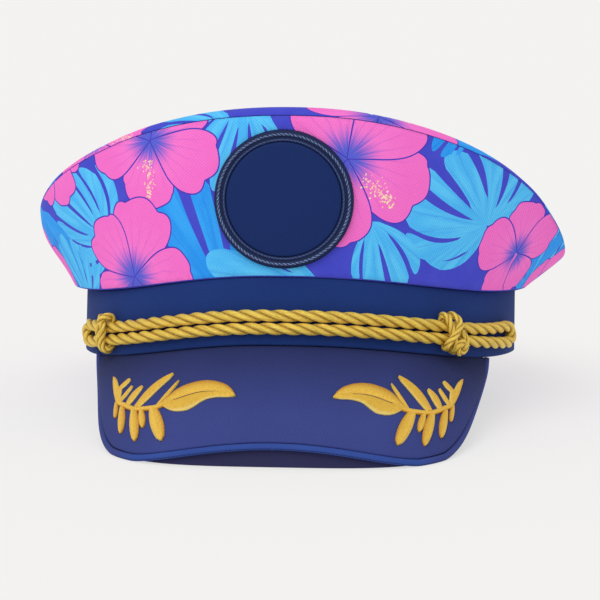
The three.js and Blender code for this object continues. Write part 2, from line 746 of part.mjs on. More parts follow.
function leafSprayGeometry(side) {
  const blades = sprayLeaves.map((leaf) => {
    const root = new THREE.Vector2(leaf.rootIn, leaf.rootUp).multiplyScalar(sprayLength);
    const tip = new THREE.Vector2(leaf.tipIn, leaf.tipUp).multiplyScalar(sprayLength);
    const chord = tip.clone().sub(root);
    const bow = new THREE.Vector2(-chord.y, chord.x).multiplyScalar(leaf.bend);
    const midlineAt = (s) => root.clone().addScaledVector(chord, s).addScaledVector(bow, Math.sin(Math.PI * s ** 1.2));
    const full = leaf.width * sprayLength;
    const widthAt = (s) => full * (0.22 + 0.78 * Math.sin(Math.PI * Math.min(1, 0.08 + 0.9 * s)) ** 0.7);
    return stitchedBlade(midlineAt, widthAt, side, leaf.width > 0.1 ? largeLeafSteps : smallLeafSteps);
  });
  const stemLine = new THREE.SplineCurve(sprayStem.map((knot) => (
    new THREE.Vector2(knot.in, knot.up).multiplyScalar(sprayLength))));
  const stem = stitchedBlade((s) => stemLine.getPoint(s), () => 2 * sprayStemWidth * sprayLength, side, stemSteps);
  return joined([stem, ...blades]);
}

const hat = new THREE.Group();

function addPiece(name, geometry, look) {
  const mesh = new THREE.Mesh(geometry, new THREE.MeshStandardMaterial(look));
  mesh.name = name;
  hat.add(mesh);
}

addPiece('hat_band', bandGeometry(), looks.band);
addPiece('crown_side', crownSideGeometry(), looks.crown);
addPiece('crown_top', crownTopGeometry(), looks.crown);
addPiece('peak_top', peakTopGeometry(), looks.peak);
addPiece('peak_under', peakUnderGeometry(), looks.peakUnder);
addPiece('peak_piping', peakPipingGeometry(), looks.piping);
addPiece('badge_patch', badgePatchGeometry(), looks.badge);
addPiece('badge_border', badgeBorderGeometry(), looks.badge);
addPiece('gold_cord', goldCordGeometry(), looks.gold);
addPiece('cord_knot_left', cordKnotGeometry(knotLeftAngle, [
  { aside: -1.5, slant: -0.05 }, { aside: 1.5, slant: -0.05 },
]), looks.gold);
addPiece('cord_knot_right', cordKnotGeometry(knotRightAngle, [
  { aside: -1.5, slant: -0.25 }, { aside: 1.5, slant: -0.25 },
]), looks.gold);
addPiece('leaf_spray_left', leafSprayGeometry(-1), looks.stitchedGold);
addPiece('leaf_spray_right', leafSprayGeometry(1), looks.stitchedGold);

// Lean the hat back onto the floor, then centre it over the origin
hat.rotation.x = -lean;
hat.position.z = bandDepth / 2 * Math.sin(lean) - floorPress * Math.cos(lean);
const standing = new THREE.Group();
standing.add(hat);
standing.updateMatrixWorld(true);
const box = new THREE.Box3().setFromObject(standing, true);
hat.position.x = -(box.min.x + box.max.x) / 2;
hat.position.y = -(box.min.y + box.max.y) / 2;

export default standing;
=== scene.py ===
import math

import bmesh
import bpy
import numpy as np
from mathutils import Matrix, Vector
from mathutils.geometry import delaunay_2d_cdt


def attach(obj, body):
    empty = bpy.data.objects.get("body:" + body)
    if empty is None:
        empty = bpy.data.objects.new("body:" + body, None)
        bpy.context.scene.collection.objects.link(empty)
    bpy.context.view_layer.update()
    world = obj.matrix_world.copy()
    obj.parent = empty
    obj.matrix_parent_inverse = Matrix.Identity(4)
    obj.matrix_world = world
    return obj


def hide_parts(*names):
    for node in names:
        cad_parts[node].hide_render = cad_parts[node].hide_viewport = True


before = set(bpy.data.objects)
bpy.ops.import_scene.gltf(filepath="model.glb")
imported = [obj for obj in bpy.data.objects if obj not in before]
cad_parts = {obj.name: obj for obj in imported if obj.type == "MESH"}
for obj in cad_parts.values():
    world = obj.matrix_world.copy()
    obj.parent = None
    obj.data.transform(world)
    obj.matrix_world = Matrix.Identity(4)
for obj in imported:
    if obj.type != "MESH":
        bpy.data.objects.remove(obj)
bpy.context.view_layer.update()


# Head band
# A strip of navy twill round the head, hemmed at both edges. The crown is sewn inside its top
# edge and the peak under its front. Sizes are millimetres in the hat's own upright frame, and
# stand() leans the hat back onto its peak and turns them into metres.
clearance = 0.3
floor_press = 1.2
band_width = 200.0
band_depth = 196.0
band_height = 29.5
band_wall = 2.0
temple_dip_left = 4.0
temple_dip_right = 2.4
temple_angle = 50.0
temple_span = 46.0
side_lift_left = 2.5
side_lift_right = 4.0
side_angle = 102.0
side_span = 50.0
peak_reach = 36.0
peak_drop = 52.5
hat_forward = 6.907
twill_pitch = 0.95
band_navy = (25, 52, 116)

lean_slope = (peak_drop + floor_press) / (band_depth + peak_reach)
lean = math.atan(lean_slope)
hat_lift = band_depth / 2 * math.sin(lean) - floor_press * math.cos(lean)


def stand(points):
    """Places in the hat's upright frame as metres in the leaned hat."""
    points = np.asarray(points, float)
    x, y, z = points[..., 0], points[..., 1], points[..., 2]
    forward = y * math.cos(lean) + z * math.sin(lean) + hat_forward
    up = z * math.cos(lean) - y * math.sin(lean) + hat_lift
    return np.stack([x, forward, up], -1) / 1000


def floor_at(y):
    """The height of the floor in the hat's upright frame."""
    return floor_press - (band_depth / 2 - y) * lean_slope


def swell(degrees, middle, span):
    """1 at the middle, falling smoothly to 0 at a span on either side."""
    away = np.minimum(1, np.abs(degrees - middle) / span)
    return 0.5 + 0.5 * np.cos(np.pi * away)


def band_dip(degrees):
    """How far the band lifts at the sides and dips at the temples, round from the front."""
    wrapped = (np.asarray(degrees, float) + 180) % 360 - 180
    dip = np.where(wrapped < 0, temple_dip_left, temple_dip_right)
    lift = np.where(wrapped < 0, side_lift_left, side_lift_right)
    from_front = np.abs(wrapped)
    at_temple = swell(from_front, temple_angle, temple_span)
    return lift * swell(from_front, side_angle, side_span) - dip * at_temple


def head_oval(degrees, grow, z):
    """Points round the band, so far out from its outer face and so high."""
    angle = np.radians(degrees)
    x = (band_width / 2 + grow) * np.sin(angle)
    y = -(band_depth / 2 + grow) * np.cos(angle)
    return np.stack(np.broadcast_arrays(x, y, z), -1)


def hemmed(levels, edge, front, back):
    """Levels and depths of a sheet's rows: down its face, round the hem, up its back and round."""
    rows = [(edge + (1 - 2 * edge) * level, front) for level in levels]
    middle, half = (front + back) / 2, (front - back) / 2
    turns = np.radians([36, 72, 108, 144])
    rows += [(1 - edge + edge * math.sin(a), middle + half * math.cos(a)) for a in turns]
    rows += [(edge + (1 - 2 * edge) * level, back) for level in reversed(levels)]
    rows += [(edge - edge * math.sin(a), middle - half * math.cos(a)) for a in turns]
    return np.array(rows)


def unit(arrows):
    """The same directions, each 1 long."""
    return arrows / np.linalg.norm(arrows, axis=-1, keepdims=True)


def sheet_normal(surface, u, v, around):
    """The direction square to a sheet: u runs along it, all round where it closes, and v up it."""
    step = 1e-3
    inner = np.clip(v, step, 1 - step)
    before = u - step if around else np.maximum(0, u - step)
    after = u + step if around else np.minimum(1, u + step)
    across = surface(after, inner) - surface(before, inner)
    along = surface(u, inner + step) - surface(u, inner - step)
    return unit(np.cross(across, along))


def sheet_points(surface, columns, rows, around):
    """A grid round a sheet's section: its rows' levels and depths, at each step along it."""
    count = columns if around else columns + 1
    u, v = np.meshgrid(np.arange(count) / columns, rows[:, 0], indexing="ij")
    depth = np.broadcast_to(rows[:, 1], u.shape)[..., None]
    points = surface(u, v) + sheet_normal(surface, u, v, around) * depth
    points[..., 2] = np.maximum(points[..., 2], floor_at(points[..., 1]))
    return points


def on_cloth(points, along, across, third=0.0):
    """Places on its cloth for each point of a grid: along it, across it, and one number more."""
    return np.stack([np.broadcast_to(value, points.shape[:2]) for value in (along, across, third)], -1)


def keep_places(mesh, name, domain, places):
    """Stores a place for each point or face corner of a mesh, for its finish to read."""
    layer = mesh.attributes.new(name, "FLOAT_VECTOR", domain)
    layer.data.foreach_set("vector", np.asarray(places, np.float32).ravel())


def shell_mesh(name, points, around, cloth):
    """A closed mesh from a grid whose rows run round the sheet's section."""
    columns, rows = points.shape[:2]
    ids = np.arange(columns * rows).reshape(columns, rows)
    here = ids if around else ids[:-1]
    beyond = np.roll(ids, -1, 0) if around else ids[1:]
    quads = np.stack([here, beyond, np.roll(beyond, -1, 1), np.roll(here, -1, 1)], -1)
    faces = quads.reshape(-1, 4).tolist()
    if not around:
        faces += [ids[0].tolist(), ids[-1][::-1].tolist()]
    mesh = bpy.data.meshes.new(name)
    mesh.from_pydata(stand(points).reshape(-1, 3).tolist(), [], faces)
    keep_places(mesh, "cloth", "POINT", cloth)
    return mesh


def faces_out(mesh):
    """Turns a closed mesh's faces outward, if its volume comes out negative."""
    mesh.calc_loop_triangles()
    place = np.zeros(len(mesh.vertices) * 3)
    mesh.vertices.foreach_get("co", place)
    corners = np.zeros(len(mesh.loop_triangles) * 3, np.int32)
    mesh.loop_triangles.foreach_get("vertices", corners)
    a, b, c = place.reshape(-1, 3)[corners.reshape(-1, 3)].transpose(1, 0, 2)
    if np.einsum("ij,ij->i", a, np.cross(b, c)).sum() < 0:
        mesh.flip_normals()


def add_object(name, data):
    placed = bpy.data.objects.new(name, data)
    bpy.context.scene.collection.objects.link(placed)
    return placed


def place_piece(name, mesh, replaced, finishes):
    """Puts a piece with its finishes in the place of the solids that it stands for."""
    faces_out(mesh)
    mesh.shade_smooth()
    piece = add_object(name, mesh)
    for finish in finishes:
        mesh.materials.append(finish.material)
    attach(piece, "root")
    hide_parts(*replaced)


class Wire:
    """One socket in a finish. Sums written with it become Math nodes."""

    def __init__(self, finish, socket):
        self.finish = finish
        self.socket = socket

    def math(self, operation, *values):
        return self.finish.node("ShaderNodeMath", {"operation": operation}, dict(enumerate(values)))

    def __add__(self, other):
        return self.math("ADD", self, other)

    def __radd__(self, other):
        return self.math("ADD", other, self)

    def __sub__(self, other):
        return self.math("SUBTRACT", self, other)

    def __rsub__(self, other):
        return self.math("SUBTRACT", other, self)

    def __mul__(self, other):
        return self.math("MULTIPLY", self, other)

    def __rmul__(self, other):
        return self.math("MULTIPLY", other, self)

    def __truediv__(self, other):
        return self.math("DIVIDE", self, other)

    def __pow__(self, other):
        return self.math("POWER", self, other)

    def wave(self):
        """0 to 1 and back once for each whole number."""
        return self.math("SINE", self * (2 * math.pi)) * 0.5 + 0.5

    def size(self):
        """The value without its sign."""
        return self.math("ABSOLUTE", self)

    def over(self, low, high):
        """0 below low, 1 above high, and smooth between them."""
        inputs = dict(enumerate((self, low, high, 0.0, 1.0)))
        return self.finish.node("ShaderNodeMapRange", {"interpolation_type": "SMOOTHSTEP"}, inputs)


def dye(red, green, blue, share=1.0):
    """A colour as it shows on a screen, 0 to 255, as Blender's linear colour."""
    shown = np.array([red, green, blue]) / 255
    linear = np.where(shown <= 0.04045, shown / 12.92, ((shown + 0.055) / 1.055) ** 2.4)
    return (*(linear * share), 1.0)


class Finish:
    """A material, with its Principled shader's fixed values and what is painted over it."""

    def __init__(self, name, **fixed):
        self.material = bpy.data.materials.new(name)
        self.material.use_nodes = True
        self.tree = self.material.node_tree
        self.shader = self.tree.nodes["Principled BSDF"]
        self.paint(**fixed)

    def plug(self, socket, value):
        if isinstance(value, Wire):
            self.tree.links.new(value.socket, socket)
        else:
            socket.default_value = value

    def node(self, kind, settings, inputs, output=0):
        """A new node: its settings are made first, and then its sockets."""
        node = self.tree.nodes.new(kind)
        for name, value in settings.items():
            setattr(node, name, value)
        for name, value in inputs.items():
            self.plug(node.inputs[name], value)
        return Wire(self, node.outputs[output])

    def attribute(self, name):
        """A stored place, whole and split into its three numbers."""
        vector = self.node("ShaderNodeAttribute", {"attribute_name": name}, {}, "Vector")
        split = self.node("ShaderNodeSeparateXYZ", {}, {0: vector}).socket.node
        return vector, *(Wire(self, socket) for socket in split.outputs)

    def mix(self, share, first, second, blend="MIX"):
        settings = {"data_type": "RGBA", "blend_type": blend}
        inputs = {0: share, 6: first, 7: second}
        return self.node("ShaderNodeMix", settings, inputs, 2)

    def grey(self, light):
        return self.node("ShaderNodeCombineColor", {}, {0: light, 1: light, 2: light})

    def noise(self, vector, scale, detail=2.0):
        inputs = {"Vector": vector, "Scale": scale, "Detail": detail}
        return self.node("ShaderNodeTexNoise", {}, inputs, "Fac")

    def paint(self, **channels):
        for name, value in channels.items():
            self.plug(self.shader.inputs[name.replace("_", " ")], value)

    def raise_up(self, height, distance):
        """Relief of that many millimetres, from a height of 0 to 1."""
        inputs = {"Height": height, "Distance": distance / 1000, "Strength": 1.0}
        self.paint(Normal=self.node("ShaderNodeBump", {}, inputs, "Normal"))


cloth_fuzz = {"Roughness": 0.85, "Sheen_Weight": 0.03, "Sheen_Roughness": 0.5,
              "Specular_IOR_Level": 0.15}
weave_relief = 0.1
stitch_pitch = twill_pitch * 1.4
diagonal = 0.7071


def twill(finish, slope=1.0):
    """Height of a twill weave: ribs that climb across the cloth, each a row of short stitches."""
    vector, along, up, _ = finish.attribute("cloth")
    wander = finish.noise(vector, 0.25) * 0.35
    rib = ((along * slope + up) * (diagonal / twill_pitch) + wander).wave()
    stitch = ((up * slope - along) * (diagonal / stitch_pitch)).wave()
    return rib * 0.75 + rib * stitch * 0.25, vector


def woven_finish(name, colour, contrast, slope=1.0, shaded=False):
    """Dyed twill with a faint fuzz and slow changes of tone. Where shaded, the twill has painted shade:
    it grows darker upward over 42 mm of cloth, and outward from 40 to 88 mm aside."""
    finish = Finish(name, **cloth_fuzz)
    weave, vector = twill(finish, slope)
    shade = finish.noise(vector, 0.03, 3.0)
    fleck = finish.noise(vector, 1.6, 1.0)
    light = weave * contrast + shade * 0.25 + fleck * 0.28 + (0.73 - contrast / 2)
    if shaded:
        # Painted shade: darker towards the cloth's upper edge and towards its sides
        _, aside, height, _ = finish.attribute("cloth")
        light = light * (1.08 - height.over(-42.0, 0.0) * 0.48 - aside.size().over(40.0, 88.0) * 0.26)
    finish.paint(Base_Color=finish.mix(1.0, dye(*colour), finish.grey(light), "MULTIPLY"))
    finish.raise_up(weave, weave_relief)
    return finish


band_finish = woven_finish("Navy band twill", band_navy, 0.4)
band_columns = 240


def band_surface(u, v):
    degrees = 360 * u - 180
    return head_oval(degrees, 0, band_dip(degrees) + band_height * v)


band_rows = hemmed(np.linspace(0, 1, 9).tolist(), band_wall / 2 / band_height, 0, -band_wall)
band_points = sheet_points(band_surface, band_columns, band_rows, True)
band_girth = math.pi * (band_width + band_depth) / 2
band_along = np.arange(band_columns)[:, None] / band_columns * band_girth
band_cloth = on_cloth(band_points, band_along, band_rows[:, 0] * band_height)
band_mesh = shell_mesh("band", band_points, True, band_cloth)
place_piece("band", band_mesh, ["hat_band"], [band_finish])


# Crown, side
# One long strip of printed twill: it is sewn inside the band's top edge, folds out over it and
# flares up to the rim. The rim stands high in front and low at the back.
crown_width = 246.0
crown_front_reach = 113.0
crown_back_reach = 121.0
crown_height = 101.0
crown_roll_height = 5.0
crown_overhang = 5.0
crown_tuck = 5.0
crown_fold_ease = 0.5
crown_bag_hang = 0.5
crown_wall = 1.5
crown_base_grow = -band_wall - clearance
fold_lift = clearance + crown_fold_ease

# Degrees from the front, rim height as a share of the crown's, overhang as a share of the full
# one, and shares of the flare that bend the side into an S or a bow
crown_rows = np.array([
    (-150, 0.51, 0.9, 0.03, 0.04), (-120, 0.58, 1.1, 0.05, 0.05), (-90, 0.66, 1.2, 0.05, 0.15),
    (-75, 0.715, 1.1, 0.05, 0.12), (-60, 0.795, 0.8, 0.03, 0.05), (-45, 0.872, 0.5, 0, 0.05),
    (-30, 0.946, 0.3, 0, 0.05), (-15, 0.992, 0.2, 0, 0.05), (0, 1.007, 0.2, 0, 0.06),
    (15, 0.995, 0.2, 0, 0.05), (30, 0.947, 0.3, 0, 0.05), (45, 0.868, 0.5, 0, 0.03),
    (60, 0.756, 0.7, 0, 0.02), (75, 0.625, 0.9, 0, 0), (90, 0.54, 1.0, 0, 0.02),
    (120, 0.5, 1.0, 0.02, 0.04), (150, 0.485, 0.9, 0.03, 0.04), (180, 0.49, 0.9, 0.03, 0.04),
])
RIM, OVERHANG, SWELL, PUFF = 1, 2, 3, 4


def round_the_head(column, degrees):
    """A smooth closed curve through one column of the crown's table."""
    at = np.concatenate([crown_rows[:, 0] + turn for turn in (-360, 0, 360)])
    value = np.tile(crown_rows[:, column], 3)
    slope = (np.roll(value, -1) - np.roll(value, 1)) / (np.roll(at, -1) - np.roll(at, 1))
    angle = (np.asarray(degrees, float) + 150) % 360 - 150
    index = np.searchsorted(at, angle, "right") - 1
    span = at[index + 1] - at[index]
    s = (angle - at[index]) / span
    rise = s * s * (3 - 2 * s)
    line = value[index] * (1 - rise) + value[index + 1] * rise
    before = span * slope[index] * s * (1 - s) ** 2
    return line + before - span * slope[index + 1] * s * s * (1 - s)


def band_top(degrees):
    return band_height + band_dip(degrees)


def rim_height(degrees):
    return crown_height * round_the_head(RIM, degrees)


def seam_height(degrees):
    return rim_height(degrees) - crown_roll_height


def rim_oval(degrees, z):
    """Points round the rim of the crown, so high."""
    angle = np.radians(degrees)
    reach = np.where(np.cos(angle) > 0, crown_front_reach, crown_back_reach)
    x = crown_width / 2 * np.sin(angle)
    return np.stack(np.broadcast_arrays(x, -reach * np.cos(angle), z), -1)


def crown_side(degrees, s):
    """The crown's outer face: s is 0 where it bags over the band and 1 at the rim's seam."""
    overhang = crown_overhang * round_the_head(OVERHANG, degrees)
    low = head_oval(degrees, overhang, band_top(degrees) + fold_lift - crown_bag_hang)
    flare = rim_oval(degrees, seam_height(degrees)) - low
    sway = round_the_head(SWELL, degrees) * np.sin(2 * np.pi * s)
    bow = round_the_head(PUFF, degrees) * np.sin(np.pi * s) - sway
    reach = np.asarray(s)[..., None] * flare
    reach[..., :2] += bow[..., None] * flare[..., :2]
    return low + reach


def crown_side_normal(degrees, s):
    step = 0.01
    across = crown_side(degrees + step, s) - crown_side(degrees - step, s)
    inner = np.clip(s, step, 1 - step)
    along = crown_side(degrees, inner + step) - crown_side(degrees, inner - step)
    return unit(np.cross(across, along))


def distances(line):
    """How far along a line each of its points lies."""
    return np.concatenate([[0], np.cumsum(np.linalg.norm(np.diff(line, axis=0), axis=1))])


# The strip laid flat: along = distance from the front, up = distance above the band
turn_steps = np.linspace(-180, 180, 721)
strip_along = distances(crown_side(turn_steps, np.full(len(turn_steps), 0.5)))
strip_along -= np.interp(0, turn_steps, strip_along)
rise_steps = crown_side(turn_steps[:, None], np.linspace(0, 1, 13)[None, :])
strip_up = np.linalg.norm(np.diff(rise_steps, axis=1), axis=-1).sum(axis=1)


def strip_place(along, up):
    """Degrees and share of the rise of a place on the flat strip."""
    degrees = np.interp(along, strip_along, turn_steps)
    return degrees, np.clip(up / np.interp(degrees, turn_steps, strip_up), 0, 1)


# The print: pink blossoms and blue leaves on an indigo ground. Each motif is an outline on the
# flat cloth, painted over the ones before it, with its own place for the veins.
GROUND, PETAL, LEAF, DEEP_LEAF, EDGE, STAMEN = range(6)
edge_width = 0.6
petal_spread = 0.88
petal_ruffle = 0.055
stamen_dots = 90
draw = np.random.default_rng(7)


def turned_left(points):
    """Twice the area of an outline: positive where it runs round to the left."""
    ahead = np.roll(points, -1, 0)
    return (points[:, 0] * ahead[:, 1] - ahead[:, 0] * points[:, 1]).sum()


def motif(points, kind, origin, turn, length, width):
    """An outline, what it is, and the frame in which its veins are drawn."""
    points = points if turned_left(points) > 0 else points[::-1]
    return {"points": points, "kind": kind, "origin": np.array(origin, float),
            "turn": turn, "length": length, "width": width}


def grown(points, by):
    """An outline moved outward all round."""
    ahead = np.roll(points, -1, 0) - np.roll(points, 1, 0)
    ahead /= np.maximum(np.linalg.norm(ahead, axis=1, keepdims=True), 1e-9)
    outward = np.stack([ahead[:, 1], -ahead[:, 0]], -1)
    return points + outward * by * (1 if turned_left(points) > 0 else -1)


def swung(points, turn, origin):
    """Points drawn about (0, 0), turned and moved to their place on the cloth."""
    c, s = math.cos(turn), math.sin(turn)
    x, y = points[:, 0], points[:, 1]
    return np.stack([x * c - y * s, x * s + y * c], -1) + origin


def petal_outline(length, spread, ruffle, seed):
    """A broad petal from its root at (0, 0) out along x, with a ruffled lip."""
    t = np.linspace(-1, 1, 61)
    lip = (1 - np.abs(t) ** 3.2) ** 0.55
    scallop = (1 - np.abs(np.sin(5.2 * t + seed))) ** 1.6
    sway = 0.6 * np.sin(2.3 * t + 1.7 * seed) + 0.3 * np.sin(13 * t + seed)
    angle = spread * t * (0.74 + 0.26 * lip)
    reach = length * lip * (1 + ruffle * (0.9 * sway - scallop) * lip)
    return np.stack([reach * np.cos(angle), reach * np.sin(angle)], -1)[1:-1]


def blossom(origin, size, turn, style, stamens, column):
    """A hibiscus blossom: five overlapping petals, and stamens scattered over one of them or the
    bare column that carries them."""
    made = []
    origin = np.array(origin, float)
    for k in (0, 2, 4, 1, 3):
        swing = turn + 2 * math.pi * k / 5 + 0.1 * math.sin(3 * k + style)
        length = size * (1 + 0.09 * math.sin(1.7 * k + 2.1 * style))
        outline = petal_outline(length, petal_spread, petal_ruffle, k + 1.3 * style)
        outline = np.vstack([[[0, 0]], outline])
        placed = swung(outline, swing, origin)
        made.append(motif(grown(placed, edge_width), EDGE, origin, swing, size, size))
        made.append(motif(placed, PETAL, origin, swing, size, size))
    if stamens is None:
        return made
    if column > 0:
        t = np.linspace(0, 1, 9)
        half = size * (0.03 - 0.012 * t)
        path = np.stack([size * column * t, size * 0.05 * np.sin(2.2 * t)], -1)
        beside = np.stack([0 * t, half], -1)
        rod = np.vstack([path + beside, (path - beside)[::-1]])
        made.append(motif(swung(rod, stamens, origin), PETAL, origin, stamens, 0.02, 0.02))
        return made
    for _ in range(stamen_dots):
        x = size * draw.uniform(0.3, 0.86)
        y = size * 0.065 * draw.normal() * (1.4 - x / size)
        radius = size * draw.uniform(0.008, 0.016)
        ring = np.radians(np.arange(0, 360, 60) + 60 * draw.random())
        dot = np.stack([x + radius * np.cos(ring), y + radius * np.sin(ring)], -1)
        made.append(motif(swung(dot, stamens, origin), STAMEN, origin, stamens, size, 1.5))
    return made


def finger_outline(start, end, reach, slant, gap, root):
    """One finger of a split leaf, between two angles from the leaf's root at (0, 0). It runs
    together with its neighbours near the root, and a widening slit parts them from there on."""
    middle, half = (start + end) / 2, (end - start) / 2
    far = np.linspace(0.04, 0.88, 13)
    u = np.linspace(-1, 1, 13)[1:-1]
    slit = np.clip((far - root) / (1 - root), 0, 1) ** 0.75
    side = half - gap / (far * reach) * slit + 0.06 * (far < root)
    tip_far = 0.88 + 0.12 * (1 - np.abs(u) ** 2.6) + slant * u * (1 - 0.5 * u ** 4)
    distance = np.concatenate([[0], far, tip_far, far[::-1]])
    swing = np.concatenate([[middle], middle - side, middle + side[-1] * u, middle + side[::-1]])
    swing = swing * (1 - 0.4 * distance ** 1.5)
    return np.stack([distance * reach * np.cos(swing), distance * reach * np.sin(swing)], -1)


def split_leaf(origin, turn, spread, count, length, kind, style, gap):
    """A broad leaf whose blade is slit into blunt fingers that fan out from its root."""
    made = []
    share = 1 + 0.25 * np.sin(2.3 * np.arange(count) + style)
    ends = np.concatenate([[0], np.cumsum(share)]) / share.sum() * spread - spread / 2
    for k in range(count):
        away = (ends[k] + ends[k + 1]) / spread
        reach = length * (1 - 0.22 * away * away + 0.08 * math.sin(5 * k + style))
        slant = 0.05 * math.sin(3 * k + 2 * style) - 0.08 * away
        root = 0.24 + 0.12 * math.sin(4 * k + style)
        outline = finger_outline(ends[k], ends[k + 1], reach, slant, gap, root)
        made.append(motif(swung(outline, turn, origin), kind, origin, turn, length, length))
    return made


def paint_print(edges, loose, motifs):
    """Cuts the flat cloth along every outline. Gives its points, its triangles, and for each of
    their corners its place in the motif on top there and what is shown."""
    points, faces = [edges], [list(range(len(edges)))]
    count = len(edges)
    low, high = edges.min(0) - 1, edges.max(0) + 1
    kept = [m for m in motifs if (m["points"].max(0) > low).all() and (m["points"].min(0) < high).all()]
    for shape in kept:
        faces.append(list(range(count, count + len(shape["points"]))))
        points.append(shape["points"])
        count += len(shape["points"])
    points.append(loose)
    flat = np.vstack(points).tolist()
    cut = delaunay_2d_cdt([Vector(p) for p in flat], [], faces, 0, 1e-5)
    place = np.array([tuple(p) for p in cut[0]])
    rows, top = [], []
    for face, sources in zip(cut[2], cut[5]):
        if 0 in sources:
            rows.append(face)
            top.append(max(sources) - 1)
    rows, top = np.array(rows), np.array(top)
    used, rows = np.unique(rows, return_inverse=True)
    rows = rows.reshape(-1, 3)
    place = place[used]
    corners = np.zeros((len(rows), 3, 3))
    corners[..., 2] = GROUND
    for k, shape in enumerate(kept):
        mine = np.nonzero(top == k)[0]
        offset = place[rows[mine]] - shape["origin"]
        c, s = math.cos(shape["turn"]), math.sin(shape["turn"])
        corners[mine, :, 0] = (offset[..., 0] * c + offset[..., 1] * s) / shape["length"]
        corners[mine, :, 1] = (offset[..., 1] * c - offset[..., 0] * s) / shape["width"]
        corners[mine, :, 2] = shape["kind"]
    return place, rows, corners


def printed_mesh(name, outer, inner, triangles, corners, cloth, border):
    """Both skins of a printed cloth. border joins them: loops of points with their mm places."""
    count = len(outer)
    points = np.vstack([outer, inner, *border["rings"]])
    faces = triangles.tolist() + (triangles[:, ::-1] + count).tolist() + border["faces"]
    mesh = bpy.data.meshes.new(name)
    mesh.from_pydata(stand(points).tolist(), [], faces)
    along, across = np.vstack([cloth, cloth, *border["cloth"]]).T
    keep_places(mesh, "cloth", "POINT", np.stack([along, across, 0 * along], -1))
    shown = np.zeros((len(mesh.loops), 3))
    printed = np.vstack([corners.reshape(-1, 3), corners[:, ::-1].reshape(-1, 3)])
    shown[:len(printed)] = printed
    keep_places(mesh, "place", "CORNER", shown)
    back = np.zeros(len(mesh.polygons), np.int32)
    back[len(triangles): 2 * len(triangles)] = 1
    mesh.polygons.foreach_set("material_index", back)
    return mesh


def edge_loop(triangles, start):
    """The points round the edge of a cut cloth, in order and running round to the left."""
    sides = np.vstack([triangles[:, [0, 1]], triangles[:, [1, 2]], triangles[:, [2, 0]]]).tolist()
    shared = {(b, a) for a, b in sides}
    ahead = {a: b for a, b in sides if (a, b) not in shared}
    loop = [int(start)]
    while ahead[loop[-1]] != loop[0]:
        loop.append(ahead[loop[-1]])
    return np.array(loop)


def joined_loops(first, second):
    """Quads between two closed loops of as many points."""
    first_ahead, second_ahead = np.roll(first, -1).tolist(), np.roll(second, -1).tolist()
    return [list(corners) for corners in zip(first, first_ahead, second_ahead, second)]


def printed_finish(name, faded):
    """The print on its twill: pink petals with blue throats, blue leaves, indigo between them."""
    finish = Finish(name, **cloth_fuzz)
    weave, vector = twill(finish)
    _, x, y, kind = finish.attribute("place")
    wash = finish.noise(vector, 0.11, 3.0)
    reach = (x * x + y * y) ** 0.5
    angle = y.math("ARCTAN2", y, x)
    streak_inputs = {"W": angle * 8.0, "Scale": 1.0, "Detail": 3.0}
    streak = finish.node("ShaderNodeTexNoise", {"noise_dimensions": "1D"}, streak_inputs, "Fac")
    vein = (angle * 4.3 + wash * 0.6).wave() ** 24.0
    throat = 1.0 - (reach + (0.5 - streak) * 0.5).over(0.1, 0.46)
    pink = finish.mix(reach.over(0.2, 1.0) * 0.5 + wash * 0.5, dye(253, 128, 214), dye(246, 108, 203))
    pink = finish.mix(vein * 0.35 * (1.0 - reach.over(0.5, 0.95)), pink, dye(186, 84, 196))
    petal = finish.mix(throat * 0.95, pink, dye(66, 96, 214))
    drawn_out = finish.node("ShaderNodeCombineXYZ", {}, {0: reach * 2.0, 1: angle * 7.0})
    stripe_inputs = {"Vector": drawn_out, "Scale": 1.0, "Detail": 3.0}
    stripe = finish.node("ShaderNodeTexNoise", {"noise_dimensions": "2D"}, stripe_inputs, "Fac")
    line = (angle * 4.6 + stripe * 0.5).wave() ** 30.0 * reach.over(0.1, 0.4)
    lit = stripe.over(0.3, 0.7)
    leaf = finish.mix(lit, dye(78, 186, 250), dye(94, 202, 254))
    leaf = finish.mix(line * 0.3, leaf, dye(44, 124, 232))
    deep = finish.mix(lit, dye(40, 150, 244), dye(56, 168, 251))
    deep = finish.mix(line * 0.25, deep, dye(36, 100, 222))
    dots = finish.noise(vector, 0.9, 0.0).over(0.42, 0.58)
    dots = finish.mix(dots, dye(255, 232, 190), dye(250, 186, 170))
    colour = finish.mix(wash, dye(62, 66, 196), dye(78, 84, 212))
    for wanted, shown in ((PETAL, petal), (LEAF, leaf), (DEEP_LEAF, deep), (EDGE, dye(72, 62, 186)),
                          (STAMEN, dots)):
        colour = finish.mix(kind.math("COMPARE", kind, wanted, 0.4), colour, shown)
    colour = finish.mix(1.0, colour, finish.grey(weave * 0.2 + 0.9), "MULTIPLY")
    if faded:
        colour = finish.mix(0.6, colour, dye(190, 200, 226))
    finish.paint(Base_Color=colour)
    finish.raise_up(weave, weave_relief)
    return finish


end_margin = 0.01
strip_end = strip_along[-1] - end_margin
strip_start = strip_along[0] + end_margin
strip_edge_step = 2.5
strip_spacing = 4.0
back_gap = 0.5
fold_inset = 0.7
fold_drop = 0.5
fold_back_rise = 1.4
fold_cloth_step = 2.0

# Where the motifs lie on the strip: along and up in millimetres, size, turn in degrees, style,
# turn of the stamens, and length of their column
side_blossoms = [
    (-57, 62, 29, -104, 0, -100, 0), (-80, 4, 33, 59, 1, None, 0), (26, 51, 34, -26, 0.5, -40, 0),
    (124, 18, 25, 100, 3, -110, 0.85), (-122, 64, 24, 10, 4, None, 0), (182, 4, 26, 40, 5, 60, 0),
    (-172, 8, 27, 75, 6, 110, 0), (236, 22, 25, 200, 7, 235, 0), (-228, 24, 26, 150, 8, None, 0),
    (290, 3, 27, 66, 9, 100, 0), (-282, 4, 26, 90, 10, 60, 0), (338, 24, 22, 20, 11, None, 0),
    (-336, 20, 23, 130, 12, None, 0),
]
